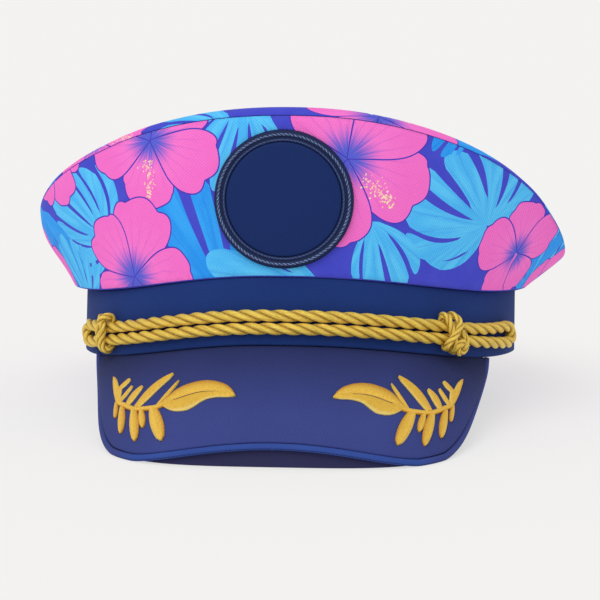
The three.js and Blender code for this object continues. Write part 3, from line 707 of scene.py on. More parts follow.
# Leaves: along, up, turn, spread, fingers, length, colour, style, half width of the slits
side_leaves = [
    (-26, -18, 100, 130, 5, 72, DEEP_LEAF, 1, 4.4), (-92, 22, 140, 230, 8, 40, LEAF, 0, 2.4),
    (97, 29, 140, 272, 8, 44, LEAF, 2, 3.6), (-16, 76, -112, 160, 7, 44, LEAF, 3, 2.4),
    (24, -10, 168, 80, 3, 62, LEAF, 4, 2.0), (39, 25, -66, 130, 4, 35, LEAF, 5, 2.6),
    (14, 82, -60, 90, 3, 32, LEAF, 6, 1.6), (78, 78, 240, 70, 3, 26, DEEP_LEAF, 7, 1.5),
    (150, 44, -60, 190, 6, 46, LEAF, 8, 2.2), (158, -6, 96, 150, 5, 38, DEEP_LEAF, 9, 2.0),
    (212, 36, 230, 190, 6, 46, LEAF, 10, 2.2), (262, -6, 90, 180, 6, 44, LEAF, 11, 2.2),
    (312, 34, 250, 180, 6, 42, DEEP_LEAF, 12, 2.2), (344, -6, 120, 140, 5, 38, LEAF, 13, 2.0),
    (-146, 38, 252, 200, 7, 48, DEEP_LEAF, 14, 2.2), (-200, -6, 96, 170, 6, 44, LEAF, 15, 2.2),
    (-254, 34, 256, 200, 7, 44, DEEP_LEAF, 16, 2.2), (-306, -6, 76, 180, 6, 44, LEAF, 17, 2.2),
    (-344, 0, 60, 140, 5, 38, DEEP_LEAF, 18, 2.0), (-126, -8, 84, 140, 5, 34, LEAF, 19, 1.8),
]


def laid_out(leaves, blossoms):
    """All the motifs of one cloth: leaves first and blossoms over them."""
    made = []
    for x, y, turn, spread, count, length, kind, style, gap in leaves:
        turn, spread = math.radians(turn), math.radians(spread)
        made += split_leaf((x, y), turn, spread, count, length, kind, style, gap)
    for x, y, size, turn, style, stamens, column in blossoms:
        along = None if stamens is None else math.radians(stamens)
        made += blossom((x, y), size, math.radians(turn), style, along, column)
    return made


def strip_edges():
    """The flat strip's outline, point by point."""
    stretch = np.arange(strip_start, strip_end - strip_edge_step / 2, strip_edge_step)
    stretch = np.append(stretch, strip_end)
    degrees = np.interp(stretch, strip_along, turn_steps)
    high = np.interp(degrees, turn_steps, strip_up)
    ends = np.linspace(0, 1, 8)[1:-1]
    low_edge = np.stack([stretch, 0 * stretch], -1)
    right = np.stack([0 * ends + strip_end, ends * high[-1]], -1)
    high_edge = np.stack([stretch, high], -1)[::-1]
    left = np.stack([0 * ends + strip_start, ends[::-1] * high[0]], -1)
    return np.vstack([low_edge, right, high_edge, left])


def strip_grid():
    """Loose points all over the strip, so that its curves stay smooth."""
    half = strip_spacing / 2
    along = np.arange(strip_start + half, strip_end - half, strip_spacing)
    degrees = np.interp(along, strip_along, turn_steps)
    high = np.interp(degrees, turn_steps, strip_up)
    levels = (np.arange(int(strip_up.max() / strip_spacing)) + 0.5) * strip_spacing / strip_up.max()
    up = high[:, None] * levels[None, :]
    return np.stack([np.broadcast_to(along[:, None], up.shape), up], -1).reshape(-1, 2)


side_motifs = laid_out(side_leaves, side_blossoms)
for shape in side_motifs:
    along = np.clip(shape["points"][:, 0], strip_start + back_gap, strip_end - back_gap)
    shape["points"] = np.stack([along, shape["points"][:, 1]], -1)
flat, triangles, corners = paint_print(strip_edges(), strip_grid(), side_motifs)
degrees, share = strip_place(flat[:, 0], flat[:, 1])
outer = crown_side(degrees, share)
inner = outer - crown_side_normal(degrees, share) * crown_wall
inner[:, 2] = np.minimum(inner[:, 2], seam_height(degrees))
skin_count = len(flat)
from_corner = flat @ np.array([[-1, 1, 1, -1], [-1, -1, 1, 1]])
loop = edge_loop(triangles, from_corner[:, 0].argmax())
low_right, high_right, high_left = (
    int(np.nonzero(loop == corner)[0][0]) for corner in from_corner[:, 1:].argmax(0))
bottom, top_edge = loop[:low_right + 1], loop[high_right:high_left + 1][::-1]
right_end, left_end = loop[low_right:high_right + 1], np.append(loop[high_left:], loop[0])[::-1]
rings, ring_cloth, ring_faces = [], [], []
count = 2 * skin_count
turn_at = degrees[bottom]
over_band = band_top(turn_at)
fold = [
    head_oval(turn_at, crown_overhang * round_the_head(OVERHANG, turn_at) - fold_inset,
              over_band + fold_lift - crown_bag_hang - fold_drop),
    head_oval(turn_at, crown_base_grow + band_wall / 2, over_band + fold_lift),
    head_oval(turn_at, crown_base_grow, over_band + clearance / 2),
    head_oval(turn_at, crown_base_grow, over_band - crown_tuck),
    head_oval(turn_at, crown_base_grow - crown_wall, over_band - crown_tuck),
    head_oval(turn_at, crown_base_grow - crown_wall, over_band + clearance),
    head_oval(turn_at, crown_base_grow + band_wall / 2 - crown_wall,
              over_band + fold_lift + fold_back_rise),
]
loop = bottom.tolist()
for ring in fold:
    ids = list(range(count, count + len(ring)))
    ring_faces += joined_loops(ids, loop)
    rings.append(ring)
    ring_cloth.append(flat[bottom] - [0, fold_cloth_step * len(rings)])
    loop = ids
    count += len(ring)
ring_faces += joined_loops((bottom + skin_count).tolist(), loop)
ring_faces += joined_loops(top_edge.tolist(), (top_edge + skin_count).tolist())
for right, left in ((right_end, left_end), (left_end + skin_count, right_end + skin_count)):
    right, left = right.tolist(), left.tolist()
    ring_faces += [[b, a, c, d] for a, b, c, d in zip(right, right[1:], left, left[1:])]
border = {"rings": rings, "cloth": ring_cloth, "faces": ring_faces}
side_mesh = printed_mesh("crown_side", outer, inner, triangles, corners, flat, border)
print_finish = printed_finish("Printed twill", False)
print_back = printed_finish("Back of the printed twill", True)
place_piece("crown_cloth", side_mesh, ["crown_side"], [print_finish, print_back])


# Crown, top
# The printed top is drawn taut across the rim's hoop and rolled over it, and its edge meets the
# side in a seam just under the roll.
crown_roll_depth = 10.0
crown_top_sag = 2.5
top_edge_step = 3.0
top_spacing = 6.0
top_spread = 128.0
loose_half_width = crown_width / 2 - 12
loose_half_depth = 106.0
roll_insets = (1.5, 3.2, 5.2, 7.4, 9.8, 12.2)
tilt_step = 0.2
wave_count = 8
roll_length = math.pi / 2 * math.hypot(crown_roll_depth, crown_roll_height) / math.sqrt(2)

wave_turns = np.arange(0, 360, 5.0)
wave_parts = []
for wave_order in range(wave_count + 1):
    part = (rim_height(wave_turns) * np.exp(-1j * wave_order * np.radians(wave_turns))).mean()
    wave_parts.append(part * (1 if wave_order == 0 else 2))


def top_height(degrees, out):
    """Height of the taut top: each wave of the rim dies out towards the middle."""
    height, rim = 0, 0
    for number, part in enumerate(wave_parts):
        value = (part * np.exp(1j * number * np.radians(degrees))).real
        rim = rim + value
        height = height + value * out ** number
    height = height + (rim_height(degrees) - rim) * out ** (wave_count + 1)
    return height - crown_top_sag * (1 - out * out)


def top_place(flat):
    """Where a place on the flat top comes to lie, over the hoop's roll too."""
    reach = np.where(flat[:, 1] < 0, crown_front_reach, crown_back_reach)
    degrees = np.degrees(np.arctan2(flat[:, 0] / (crown_width / 2), -flat[:, 1] / reach))
    rim = rim_oval(degrees, 0)
    radius = np.linalg.norm(rim, axis=1)
    far = np.linalg.norm(flat, axis=1)
    level = radius - crown_roll_depth
    out = np.minimum(1, far / level)
    turn = (1 - np.clip((far - level) / roll_length, 0, 1)) * math.pi / 2
    share = np.where(far <= level, out * level / radius,
                     1 - crown_roll_depth / radius * (1 - np.cos(turn)))
    over = seam_height(degrees) + clearance + (crown_roll_height - clearance) * np.sin(turn)
    place = rim * share[:, None]
    place[:, 2] = np.where(far <= level, top_height(degrees, out), over)
    return place


def top_ring(inset):
    """Points round the flat top, a set distance in from its edge."""
    count = int(band_girth * 1.2 / top_edge_step)
    degrees = np.arange(count) / count * 360 - 180
    rim = rim_oval(degrees, 0)[:, :2]
    radius = np.linalg.norm(rim, axis=1, keepdims=True)
    return rim / radius * (radius - crown_roll_depth + roll_length - inset)


top_blossoms = [
    (40, -104, 34, 100, 1, 40, 0), (-82, -74, 30, 20, 4, -60, 0), (-14, -48, 31, -60, 2, 200, 0),
    (74, -34, 30, 150, 5, 100, 0), (-80, 18, 30, 80, 6, 10, 0), (10, 34, 33, 10, 7, 120, 0),
    (92, 52, 28, 220, 8, 60, 0), (-48, 92, 30, 120, 9, -20, 0), (44, 104, 28, 60, 10, 160, 0),
]
top_leaves = [
    (-34, -96, 100, 190, 7, 44, LEAF, 0, 2.2), (-24, -122, 150, 120, 5, 40, LEAF, 1, 2.2),
    (86, -82, 150, 190, 7, 42, DEEP_LEAF, 2, 2.2), (34, -64, -80, 150, 6, 40, LEAF, 3, 2.2),
    (-50, -26, 170, 190, 7, 46, LEAF, 4, 2.2), (-106, -26, -60, 150, 6, 38, DEEP_LEAF, 5, 2.2),
    (34, -4, 60, 190, 7, 44, LEAF, 6, 2.2), (104, 12, 200, 170, 6, 42, LEAF, 7, 2.2),
    (-34, 36, 130, 200, 7, 44, DEEP_LEAF, 8, 2.2), (-104, 60, 240, 170, 6, 40, LEAF, 9, 2.2),
    (50, 66, 30, 190, 7, 42, LEAF, 10, 2.2), (-4, 84, 250, 190, 7, 44, LEAF, 11, 2.2),
    (-14, 122, -30, 170, 6, 40, DEEP_LEAF, 12, 2.2), (86, 94, 250, 170, 6, 38, LEAF, 13, 2.2),
    (112, -46, 70, 150, 5, 36, LEAF, 14, 2.2), (-90, -100, 60, 140, 5, 36, LEAF, 15, 2.2),
    (-44, -10, -40, 180, 7, 40, LEAF, 16, 2.2), (46, 24, -60, 180, 7, 38, DEEP_LEAF, 17, 2.2),
]
reach = np.arange(-top_spread, top_spread, top_spacing)
loose = np.stack(np.meshgrid(reach, reach, indexing="ij"), -1).reshape(-1, 2)
inside = (loose[:, 0] / loose_half_width) ** 2 + (loose[:, 1] / loose_half_depth) ** 2 < 1
loose = np.vstack([loose[inside], *(top_ring(inset) for inset in roll_insets)])
flat, triangles, corners = paint_print(top_ring(0), loose, laid_out(top_leaves, top_blossoms))
outer = top_place(flat)
east = top_place(flat + [tilt_step, 0]) - top_place(flat - [tilt_step, 0])
north = top_place(flat + [0, tilt_step]) - top_place(flat - [0, tilt_step])
inner = outer - unit(np.cross(east, north)) * crown_wall
edge = edge_loop(triangles, flat[:, 1].argmin())
rim_faces = joined_loops((edge + len(flat)).tolist(), edge.tolist())
border = {"rings": [], "cloth": [], "faces": rim_faces}
top_mesh = printed_mesh("crown_top", outer, inner, triangles, corners, flat, border)
place_piece("crown_top_cloth", top_mesh, ["crown_top"], [print_finish, print_back])


# Front badge
# A round patch of smooth navy felt with a stitched border: an overlocked outer edge, a rope-like
# ring, a groove and a thin inner ring. It is sewn flat on the front of the crown.
badge_diameter = 59.5
badge_border_width = 5.2
badge_centre_height = 62.0
badge_columns = 960
rope_radius = 27.7
rope_slant = 1.6
rope_pitch = 1.75
border_middle = 27.0
crown_front_passes = 25

front_low, front_high = crown_side(np.zeros(2), np.array([0.0, 1.0]))
front_upright = (front_high[2] - front_low[2]) / np.linalg.norm(front_high - front_low)


def crown_front(x, z, off):
    """A point on the front of the crown, by its place from side to side and its height."""
    degrees = np.zeros_like(x)
    side_reach = crown_side(np.full(1, 90.0), np.zeros(1))[0, 0]
    for _ in range(crown_front_passes):
        low = crown_side(degrees, 0 * x)[..., 2]
        s = (z - low) / (seam_height(degrees) - low)
        degrees = degrees + np.degrees((x - crown_side(degrees, s)[..., 0]) / side_reach)
    return crown_side(degrees, s) + crown_side_normal(degrees, s) * off[..., None]


def badge_place(radius, turn, off):
    """A point of the badge, by its distance and turn from the middle and its height off the cloth."""
    x = radius * np.sin(turn)
    return crown_front(x, badge_centre_height + radius * np.cos(turn) * front_upright, off)


# The border's section: radius, height off the crown, height of its stitches, stitches round,
# slant of the stitches
border_section = np.array([
    (24.55, 0.35, 0, 0, 0), (24.6, 1.5, 0.02, 300, 0), (24.85, 1.95, 0.06, 300, 1),
    (25.25, 2.15, 0.1, 300, 1), (25.7, 2.05, 0.08, 300, 1), (26.05, 1.75, 0.03, 300, 1),
    (26.4, 1.55, 0, 210, 0), (26.75, 1.85, 0.05, 210, 3), (27.1, 2.35, 0.14, 210, 3),
    (27.5, 2.68, 0.2, 210, 3), (27.9, 2.72, 0.2, 210, 3), (28.3, 2.5, 0.14, 210, 3),
    (28.65, 2.3, 0.06, 250, 0), (29.0, 2.25, 0.12, 250, 0), (29.35, 1.9, 0.14, 250, 0),
    (29.6, 1.35, 0.14, 250, 0), (29.72, 0.8, 0.1, 250, 0), (29.6, 0.35, 0, 250, 0),
])
turn = np.arange(badge_columns)[:, None] / badge_columns * 2 * math.pi
section = border_section[None, :, :]
stitch = np.cos(section[..., 3] * turn + section[..., 4] * (section[..., 0] - rope_radius) * rope_slant)
border_off = section[..., 1] + section[..., 2] * stitch
border_radius = np.broadcast_to(section[..., 0], border_off.shape)
border_points = badge_place(border_radius, np.broadcast_to(turn, border_off.shape), border_off)
border_cloth = on_cloth(border_points, turn * border_middle, border_radius)
border_mesh = shell_mesh("badge_border", border_points, True, border_cloth)

badge_thread = Finish("Navy border thread", Roughness=0.6, Specular_IOR_Level=0.2)
vector, around, ring_radius, _ = badge_thread.attribute("cloth")
fleck = badge_thread.noise(vector, 1.7, 2.0)
slanted = ((around + (ring_radius - rope_radius) * rope_slant) / rope_pitch + fleck * 0.7).wave()
rope = ring_radius.over(27.0, 27.4) * (1.0 - ring_radius.over(27.9, 28.3))
inner_ring = ring_radius.over(24.9, 25.2) * (1.0 - ring_radius.over(25.5, 25.8))
speck = (slanted * 0.6 + fleck * 1.5 - 0.75).over(0.05, 0.75)
edge_tone = badge_thread.mix(slanted * 0.5 + fleck * 0.5, dye(10, 20, 48), dye(26, 44, 92))
roped = badge_thread.mix(rope * (speck * 0.85 + 0.1), edge_tone, dye(128, 150, 200))
roped = badge_thread.mix(inner_ring * (speck * 0.5 + 0.25), roped, dye(84, 104, 158))
badge_thread.paint(Base_Color=roped)
place_piece("badge_edge", border_mesh, ["badge_border"], [badge_thread])

patch_gap = 0.05
patch_radius = badge_diameter / 2 - badge_border_width - patch_gap
patch_section = np.array([(0.0, 1.9), (4, 1.9), (9, 1.9), (14, 1.9), (18, 1.9), (21, 1.9),
                          (23, 1.88), (patch_radius - 0.4, 1.8), (patch_radius - 0.1, 1.6),
                          (patch_radius, 1.2), (patch_radius, 0.3), (14, 0.3), (0.0, 0.3)])
patch_columns = 96
turn = np.arange(patch_columns)[:, None] / patch_columns * 2 * math.pi
patch_off = np.broadcast_to(patch_section[None, :, 1], (patch_columns, len(patch_section)))
patch_round = np.broadcast_to(patch_section[None, :, 0], patch_off.shape)
patch_points = badge_place(patch_round, np.broadcast_to(turn, patch_off.shape), patch_off)
patch_cloth = on_cloth(patch_points, patch_round * np.sin(turn), patch_round * np.cos(turn))
patch_mesh = shell_mesh("badge_patch", patch_points, True, patch_cloth)
builder = bmesh.new()
builder.from_mesh(patch_mesh)
bmesh.ops.remove_doubles(builder, verts=builder.verts, dist=1e-7)
builder.to_mesh(patch_mesh)
builder.free()
felt = Finish("Navy felt", Roughness=0.55, Specular_IOR_Level=0.12)
vector, across, _, _ = felt.attribute("cloth")
nap = felt.noise(vector, 2.2, 3.0)
grain = (across * 1.25 + felt.noise(vector, 0.4) * 0.5).wave()
tone = felt.mix(nap * 0.7 + grain * 0.3, dye(12, 35, 87), dye(21, 46, 103))
felt.paint(Base_Color=tone)
felt.raise_up(nap * 0.6 + grain * 0.4, 0.05)
place_piece("badge_felt", patch_mesh, ["badge_patch"], [felt])


# Peak
# Two layers of navy twill over a stiffener: it drops steeply from the band, its rounded corners
# stand on the floor and its edge arches up between them. A piping runs along the edge.
peak_seam_angle = 60.5
peak_foot_width = 158.0
peak_corner_power = 3.7
peak_side_run = 65.0
peak_side_power = 1.25
peak_flange_height = 6.0
peak_top_end = 0.985
peak_under_end = 0.945
peak_under_start = 0.05
peak_top_wall = 1.6
peak_under_wall = 1.5
peak_belly = 1.6
layer_ease = 0.2
seam_press_start = 0.72
seam_press_run = 0.16
seam_press = 1.3
slope_stretch = 1.2
piping_end_rise = 0.38
piping_diameter = 2.8
piping_arch = 8.0
piping_arch_half_width = 60.0
peak_navy = (55, 66, 130)
# The cloth under the peak is the same navy, dyed darker and more purple as painted shade where it stands
# back under the piping
under_peak_shade_navy = (46, 46, 84)
seam_half_width = band_width / 2 * math.sin(math.radians(peak_seam_angle))
seam_end_depth = band_depth / 2 * math.cos(math.radians(peak_seam_angle))


def peak_seam(t):
    """The seam under the band, from -1 at the left to 1 at the right. Its ends press against it."""
    degrees = peak_seam_angle * t
    tight = np.clip((np.abs(t) - seam_press_start) / seam_press_run, 0, 1)
    drop = clearance * (1 - seam_press * tight) + peak_top_wall / 2
    return head_oval(degrees, -peak_top_wall / 2, band_dip(degrees) - drop)


def peak_foot(t):
    """The line in which the peak meets the floor, rising at each side to the end of the seam."""
    angle = math.pi / 2 * t
    power = 2 / peak_corner_power
    reach = band_depth / 2 + peak_reach - seam_end_depth
    y = -seam_end_depth - reach * np.maximum(0, np.cos(angle)) ** power
    climb = np.maximum(0, 1 - (-y - seam_end_depth) / peak_side_run)
    rise = 1 - np.sqrt(np.maximum(0, 1 - climb ** peak_side_power))
    half = peak_foot_width / 2 * (1 - climb ** 2) + seam_half_width * climb ** 2
    x = half * np.sign(t) * np.abs(np.sin(angle)) ** power
    floor = floor_at(y)
    seam_end = peak_seam(1.0)[2] - piping_diameter * piping_end_rise
    return np.stack([x, y, floor + rise * (np.maximum(floor, seam_end) - floor)], -1)


foot_steps = np.linspace(-1, 1, 601)
foot_lengths = distances(peak_foot(foot_steps))


def foot_share(share):
    """Where a share of the foot's length ends, from -1 at the left to 1 at the right."""
    return np.interp(np.clip(share, 0, 1) * foot_lengths[-1], foot_lengths, foot_steps)


def piping_line(t):
    """The middle of the piping: over the peak's foot, and arched up in front."""
    point = peak_foot(t)
    middle = np.maximum(0, 1 - (point[..., 0] / piping_arch_half_width) ** 2)
    point[..., 2] += (piping_diameter / 2 + piping_arch * middle ** 1.3) * math.cos(lean)
    return point


def to_the_left(arrows):
    """Level directions a quarter turn to the left of these."""
    return unit(np.stack([-arrows[..., 1], arrows[..., 0], 0 * arrows[..., 0]], -1))


def inward(t):
    """The level direction in from the peak's foot, square to it."""
    step = 1e-3
    return to_the_left(peak_foot(np.minimum(1, t + step)) - peak_foot(np.maximum(-1, t - step)))


def square_out(t, slope):
    """The direction off the peak, square to its slope and level along its edge."""
    return unit(np.cross(to_the_left(inward(t)), slope))


def peak_face(t, v):
    """The middle of the peak's upper cloth: v is 0 at the seam and 1 in the piping."""
    t, v = np.broadcast_arrays(np.asarray(t, float), np.asarray(v, float))
    seam, edge = peak_seam(t), piping_line(t)
    slope = edge - seam
    full = np.minimum(1, np.linalg.norm(slope, axis=-1) / peak_drop)
    bulge = peak_belly * full * np.sin(np.pi * v)
    return seam + slope * v[..., None] + square_out(t, slope) * bulge[..., None]


def beside_piping(t):
    """The share of the way down at which the upper cloth meets the side of the piping."""
    step = 1e-3
    slope = piping_line(t) - peak_seam(t)
    ahead = unit(piping_line(t + step) - piping_line(t - step))
    square = np.linalg.norm(np.cross(slope, ahead), axis=-1)
    return np.maximum(0.1, 1 - (piping_diameter / 2 + clearance) / square)


flange_end = 0.2
flange_depth = band_wall + clearance + peak_top_wall / 2


def peak_top_surface(u, v):
    """The upper cloth: its flange inside the band up to flange_end, then its face to the piping."""
    t = foot_share(u) * peak_top_end
    seam = peak_seam(t)
    high = head_oval(peak_seam_angle * t, -flange_depth, seam[..., 2] + peak_flange_height)
    corner = head_oval(peak_seam_angle * t, -flange_depth, seam[..., 2])
    place = (2 * v / flange_end)[..., None]
    inside = np.where(place < 1, high + (corner - high) * place,
                      corner + (seam - corner) * (place - 1))
    share = np.clip((v - flange_end) / (1 - flange_end), 0, 1)
    return np.where(v[..., None] < flange_end, inside, peak_face(t, share * beside_piping(t)))


def peak_under_surface(u, v):
    """The cloth under the peak: it follows the upper one, then drops behind the piping."""
    below = (peak_top_wall + peak_under_wall) / 2 + clearance + layer_ease
    behind = (piping_diameter + peak_under_wall) / 2 + clearance + 2 * layer_ease
    turn_at = 0.75
    t = foot_share(u) * peak_under_end
    bend = piping_line(t) + inward(t) * behind
    foot = peak_foot(t)
    low = foot + inward(t) * behind
    low[..., 2] = np.maximum(floor_at(low[..., 1]), low[..., 2] - lean_slope * behind)
    share = peak_under_start + (1 - peak_under_start) * np.minimum(1, v / turn_at)
    slope = piping_line(t) - peak_seam(t)
    hung = peak_face(t, share) - square_out(t, slope) * below
    settle = (share ** 3)[..., None]
    down = np.clip((v - turn_at) / (1 - turn_at), 0, 1)[..., None]
    return np.where(v[..., None] > turn_at, bend + (low - bend) * down, hung + (bend - hung) * settle)


peak_columns = 180
peak_hem = 0.008


def peak_piece(name, surface, stretches, wall, replaced, finish):
    """One layer of the peak. A stretch of its levels is a start, an end and a count."""
    levels = np.concatenate([np.linspace(*stretch) for stretch in stretches]).tolist()
    rows = hemmed(levels, peak_hem, wall / 2, -wall / 2)
    points = sheet_points(surface, peak_columns, rows, False)
    cloth = on_cloth(points, points[..., 0], points[..., 2] * slope_stretch)
    place_piece(name, shell_mesh(name, points, False, cloth), replaced, [finish])


# The peak's twill has painted shade, darker at its upper edge and at its sides.
peak_finish = woven_finish("Navy peak twill", peak_navy, 0.36, -1.0, shaded=True)
# The under-peak twill's darker dye is painted shade.
under_finish = woven_finish("Under-peak twill with painted shade", under_peak_shade_navy, 0.25)
peak_piece("peak_cloth", peak_top_surface, ((0, 0.19, 5), (0.2, 0.3, 6), (0.32, 1, 26)),
           peak_top_wall, ["peak_top"], peak_finish)
peak_piece("peak_lining", peak_under_surface, ((0, 0.68, 18), (0.7, 0.8, 8), (0.84, 1, 5)),
           peak_under_wall, ["peak_under"], under_finish)


def tube_points(centre, out, radius, angle, closes):
    """Rings of points along a line, at angles counted from the side that faces out."""
    ahead = unit(np.roll(centre, -1, 0) - np.roll(centre, 1, 0) if closes
                 else np.gradient(centre, axis=0))
    out = unit(out - ahead * (out * ahead).sum(1, keepdims=True))
    side = np.cross(ahead, out)
    points = out[:, None, :] * (radius * np.cos(angle))[..., None]
    points = centre[:, None, :] + points + side[:, None, :] * (radius * np.sin(angle))[..., None]
    points[..., 2] = np.maximum(points[..., 2], floor_at(points[..., 1]))
    return points


piping_steps = 420
piping_t = foot_share(np.linspace(0, 1, piping_steps))
piping_centre = piping_line(piping_t)
piping_out = -inward(piping_t)
piping_sides = 40
groove_at = 0.85
groove_width = 0.17
groove_depth = 0.24
piping_angle = np.arange(piping_sides)[None, :] / piping_sides * 2 * math.pi - math.pi
groove = np.exp(-((piping_angle - groove_at) / groove_width) ** 2)
piping_reach = piping_diameter / 2 * (1 - groove_depth * groove)
piping_points = tube_points(piping_centre, piping_out, piping_reach, piping_angle, False)
piping_along = np.linspace(0, 1, piping_steps)[:, None] * foot_lengths[-1]
piping_cloth = on_cloth(piping_points, piping_along, piping_angle * piping_diameter / 2)
piping_finish = Finish("Navy piping", Roughness=0.8, Specular_IOR_Level=0.2)
weave, _ = twill(piping_finish)
vector, along, around, _ = piping_finish.attribute("cloth")
# Painted highlight: the roll is a lighter, bluer navy where it arches up and catches the light, fading
# to the peak's navy from 58 to 74 mm out from the middle
turned = (along - foot_lengths[-1] / 2).size().over(58.0, 74.0)
patchy = piping_finish.noise(vector, 0.05, 3.0)
roll = piping_finish.mix(weave * 0.3 + patchy * 0.7, dye(34, 62, 138), dye(58, 84, 160))
tone = piping_finish.mix(turned, roll, dye(*peak_navy))
from_groove = (around - groove_at * piping_diameter / 2).size()
stitch = (along / 1.7).wave() * 0.6 + 0.4
tone = piping_finish.mix((1.0 - from_groove.over(0.1, 0.42)) * stitch * 0.9, tone, dye(18, 20, 60))
piping_finish.paint(Base_Color=tone)
piping_finish.raise_up(weave, 0.08)
place_piece("peak_edge", shell_mesh("peak_edge", piping_points, False, piping_cloth),
            ["peak_piping"], [piping_finish])


# Gold cord
# Three strands of gold thread laid up into one cord. It lies doubled across the band as a closed
# loop, whose two runs part a little before the right end.
cord_diameter = 5.2
cord_level = 9.7
cord_pitch = 5.6
cord_end_slot = 1.6
cord_slot_start = 8.0
cord_left_flare = 1.9
cord_left_end = -63.5
cord_right_end = 70.0
knot_left_angle = -52.5
knot_right_angle = 44.0
strand_radius = 1.45
strand_offset = 1.2
cord_turns = 22
cord_rings = 900
cord_sides = 36
cord_off = clearance + cord_diameter / 2
degrees_per_mm = 360 / band_girth


def cord_run(degrees, side):
    """The middle of one of the two runs: 1 is the upper and -1 the lower."""
    start = knot_right_angle + cord_slot_start
    part = np.clip((degrees - start) / (cord_right_end - start), 0, 1)
    flare = np.clip((knot_left_angle - degrees) / (knot_left_angle - cord_left_end), 0, 1)
    apart = cord_pitch + cord_end_slot * part * part * (3 - 2 * part)
    apart = (apart + cord_left_flare * flare * flare * (3 - 2 * flare)) / 2
    return head_oval(degrees, cord_off, cord_level + band_dip(degrees) + side * apart)


def cord_bend(end, way, share):
    """The half turn in which the loop goes from one run to the other, beyond one of its ends."""
    upper, lower = cord_run(end, 1), cord_run(end, -1)
    half = (upper[2] - lower[2]) / 2
    beyond = way * half * np.sin(math.pi * share) * degrees_per_mm
    z = (upper[2] + lower[2]) / 2 + way * half * np.cos(math.pi * share)
    return head_oval(end + beyond, cord_off, z)


def even_steps(points, count, closes):
    """The same line with its points evenly spaced, and the distance along it to each."""
    line = np.vstack([points, points[:1]]) if closes else points
    gone = distances(line)
    at = np.arange(count) / (count if closes else count - 1) * gone[-1]
    return np.stack([np.interp(at, gone, line[:, axis]) for axis in range(3)], -1), at


def laid_outline(angle, strand, offset):
    """How far the outline of a three-strand cord reaches at an angle round it."""
    third = 2 * math.pi / 3
    away = (angle + third / 2) % third - third / 2
    return offset * np.cos(away) + np.sqrt(strand ** 2 - (offset * np.sin(away)) ** 2)


def laid_cord(line, out, turns, strand, offset, rings, sides, closes):
    """Points of a laid cord along a line, and its places: along, round it and out of the groove."""
    centre, along = even_steps(line, rings, closes)
    angle = np.arange(sides) / sides * 2 * math.pi
    reach = laid_outline(angle, strand, offset)
    twist = along / (along[-1] + (along[1] if closes else 0)) * turns * 2 * math.pi
    points = tube_points(centre, out(centre), reach[None, :], angle[None, :] + twist[:, None], closes)
    crest = (reach - reach.min()) / (reach.max() - reach.min())
    around = (angle[None, :] + twist[:, None]) * (strand + offset)
    return points, on_cloth(points, along[:, None], around, crest)


def level_out(points):
    """Level directions away from the middle of the hat."""
    return unit(points * [1, 1, 0])


def gold_finish(name, thread_pitch):
    """Spun gold thread: painted highlight on strand crowns, painted brown shade in the grooves."""
    finish = Finish(name, Roughness=0.42, Metallic=0.3)
    vector, along, around, crest = finish.attribute("cloth")
    wander = finish.noise(vector, 0.5, 2.0)
    thread = (around / thread_pitch + wander * 1.2 + along * 0.06).wave()
    fleck = finish.noise(vector, 2.0, 2.0)
    # Partly the thread's own streaks, partly a painted highlight on each strand's crown
    light = (thread * 0.55 + crest * 0.55 + (fleck - 0.5) * 0.8).over(0.12, 1.05)
    # Painted shade: brown in the grooves between the strands
    deep = finish.mix(crest.over(0.0, 0.55), dye(120, 74, 14), dye(196, 144, 34))
    finish.paint(Base_Color=finish.mix(light, deep, dye(252, 222, 98)))
    finish.paint(Roughness=0.5 - light * 0.15)
    finish.raise_up(thread, 0.12)
    return finish


knot_under = np.linspace(knot_left_angle, cord_right_end, 420)
bend_share = np.linspace(0, 1, 42)[1:-1]
cord_line = np.vstack([
    cord_run(knot_under, 1), cord_bend(cord_right_end, 1, bend_share),
    cord_run(np.linspace(cord_right_end, cord_left_end, 460), -1),
    cord_bend(cord_left_end, -1, bend_share),
    cord_run(np.linspace(cord_left_end, knot_left_angle, 40)[:-1], 1),
])
cord_points, cord_cloth = laid_cord(cord_line, level_out, cord_turns, strand_radius, strand_offset,
                                    cord_rings, cord_sides, True)
cord_finish = gold_finish("Gold cord thread", 0.62)
place_piece("cord", shell_mesh("cord", cord_points, True, cord_cloth), ["gold_cord"],
            [cord_finish])


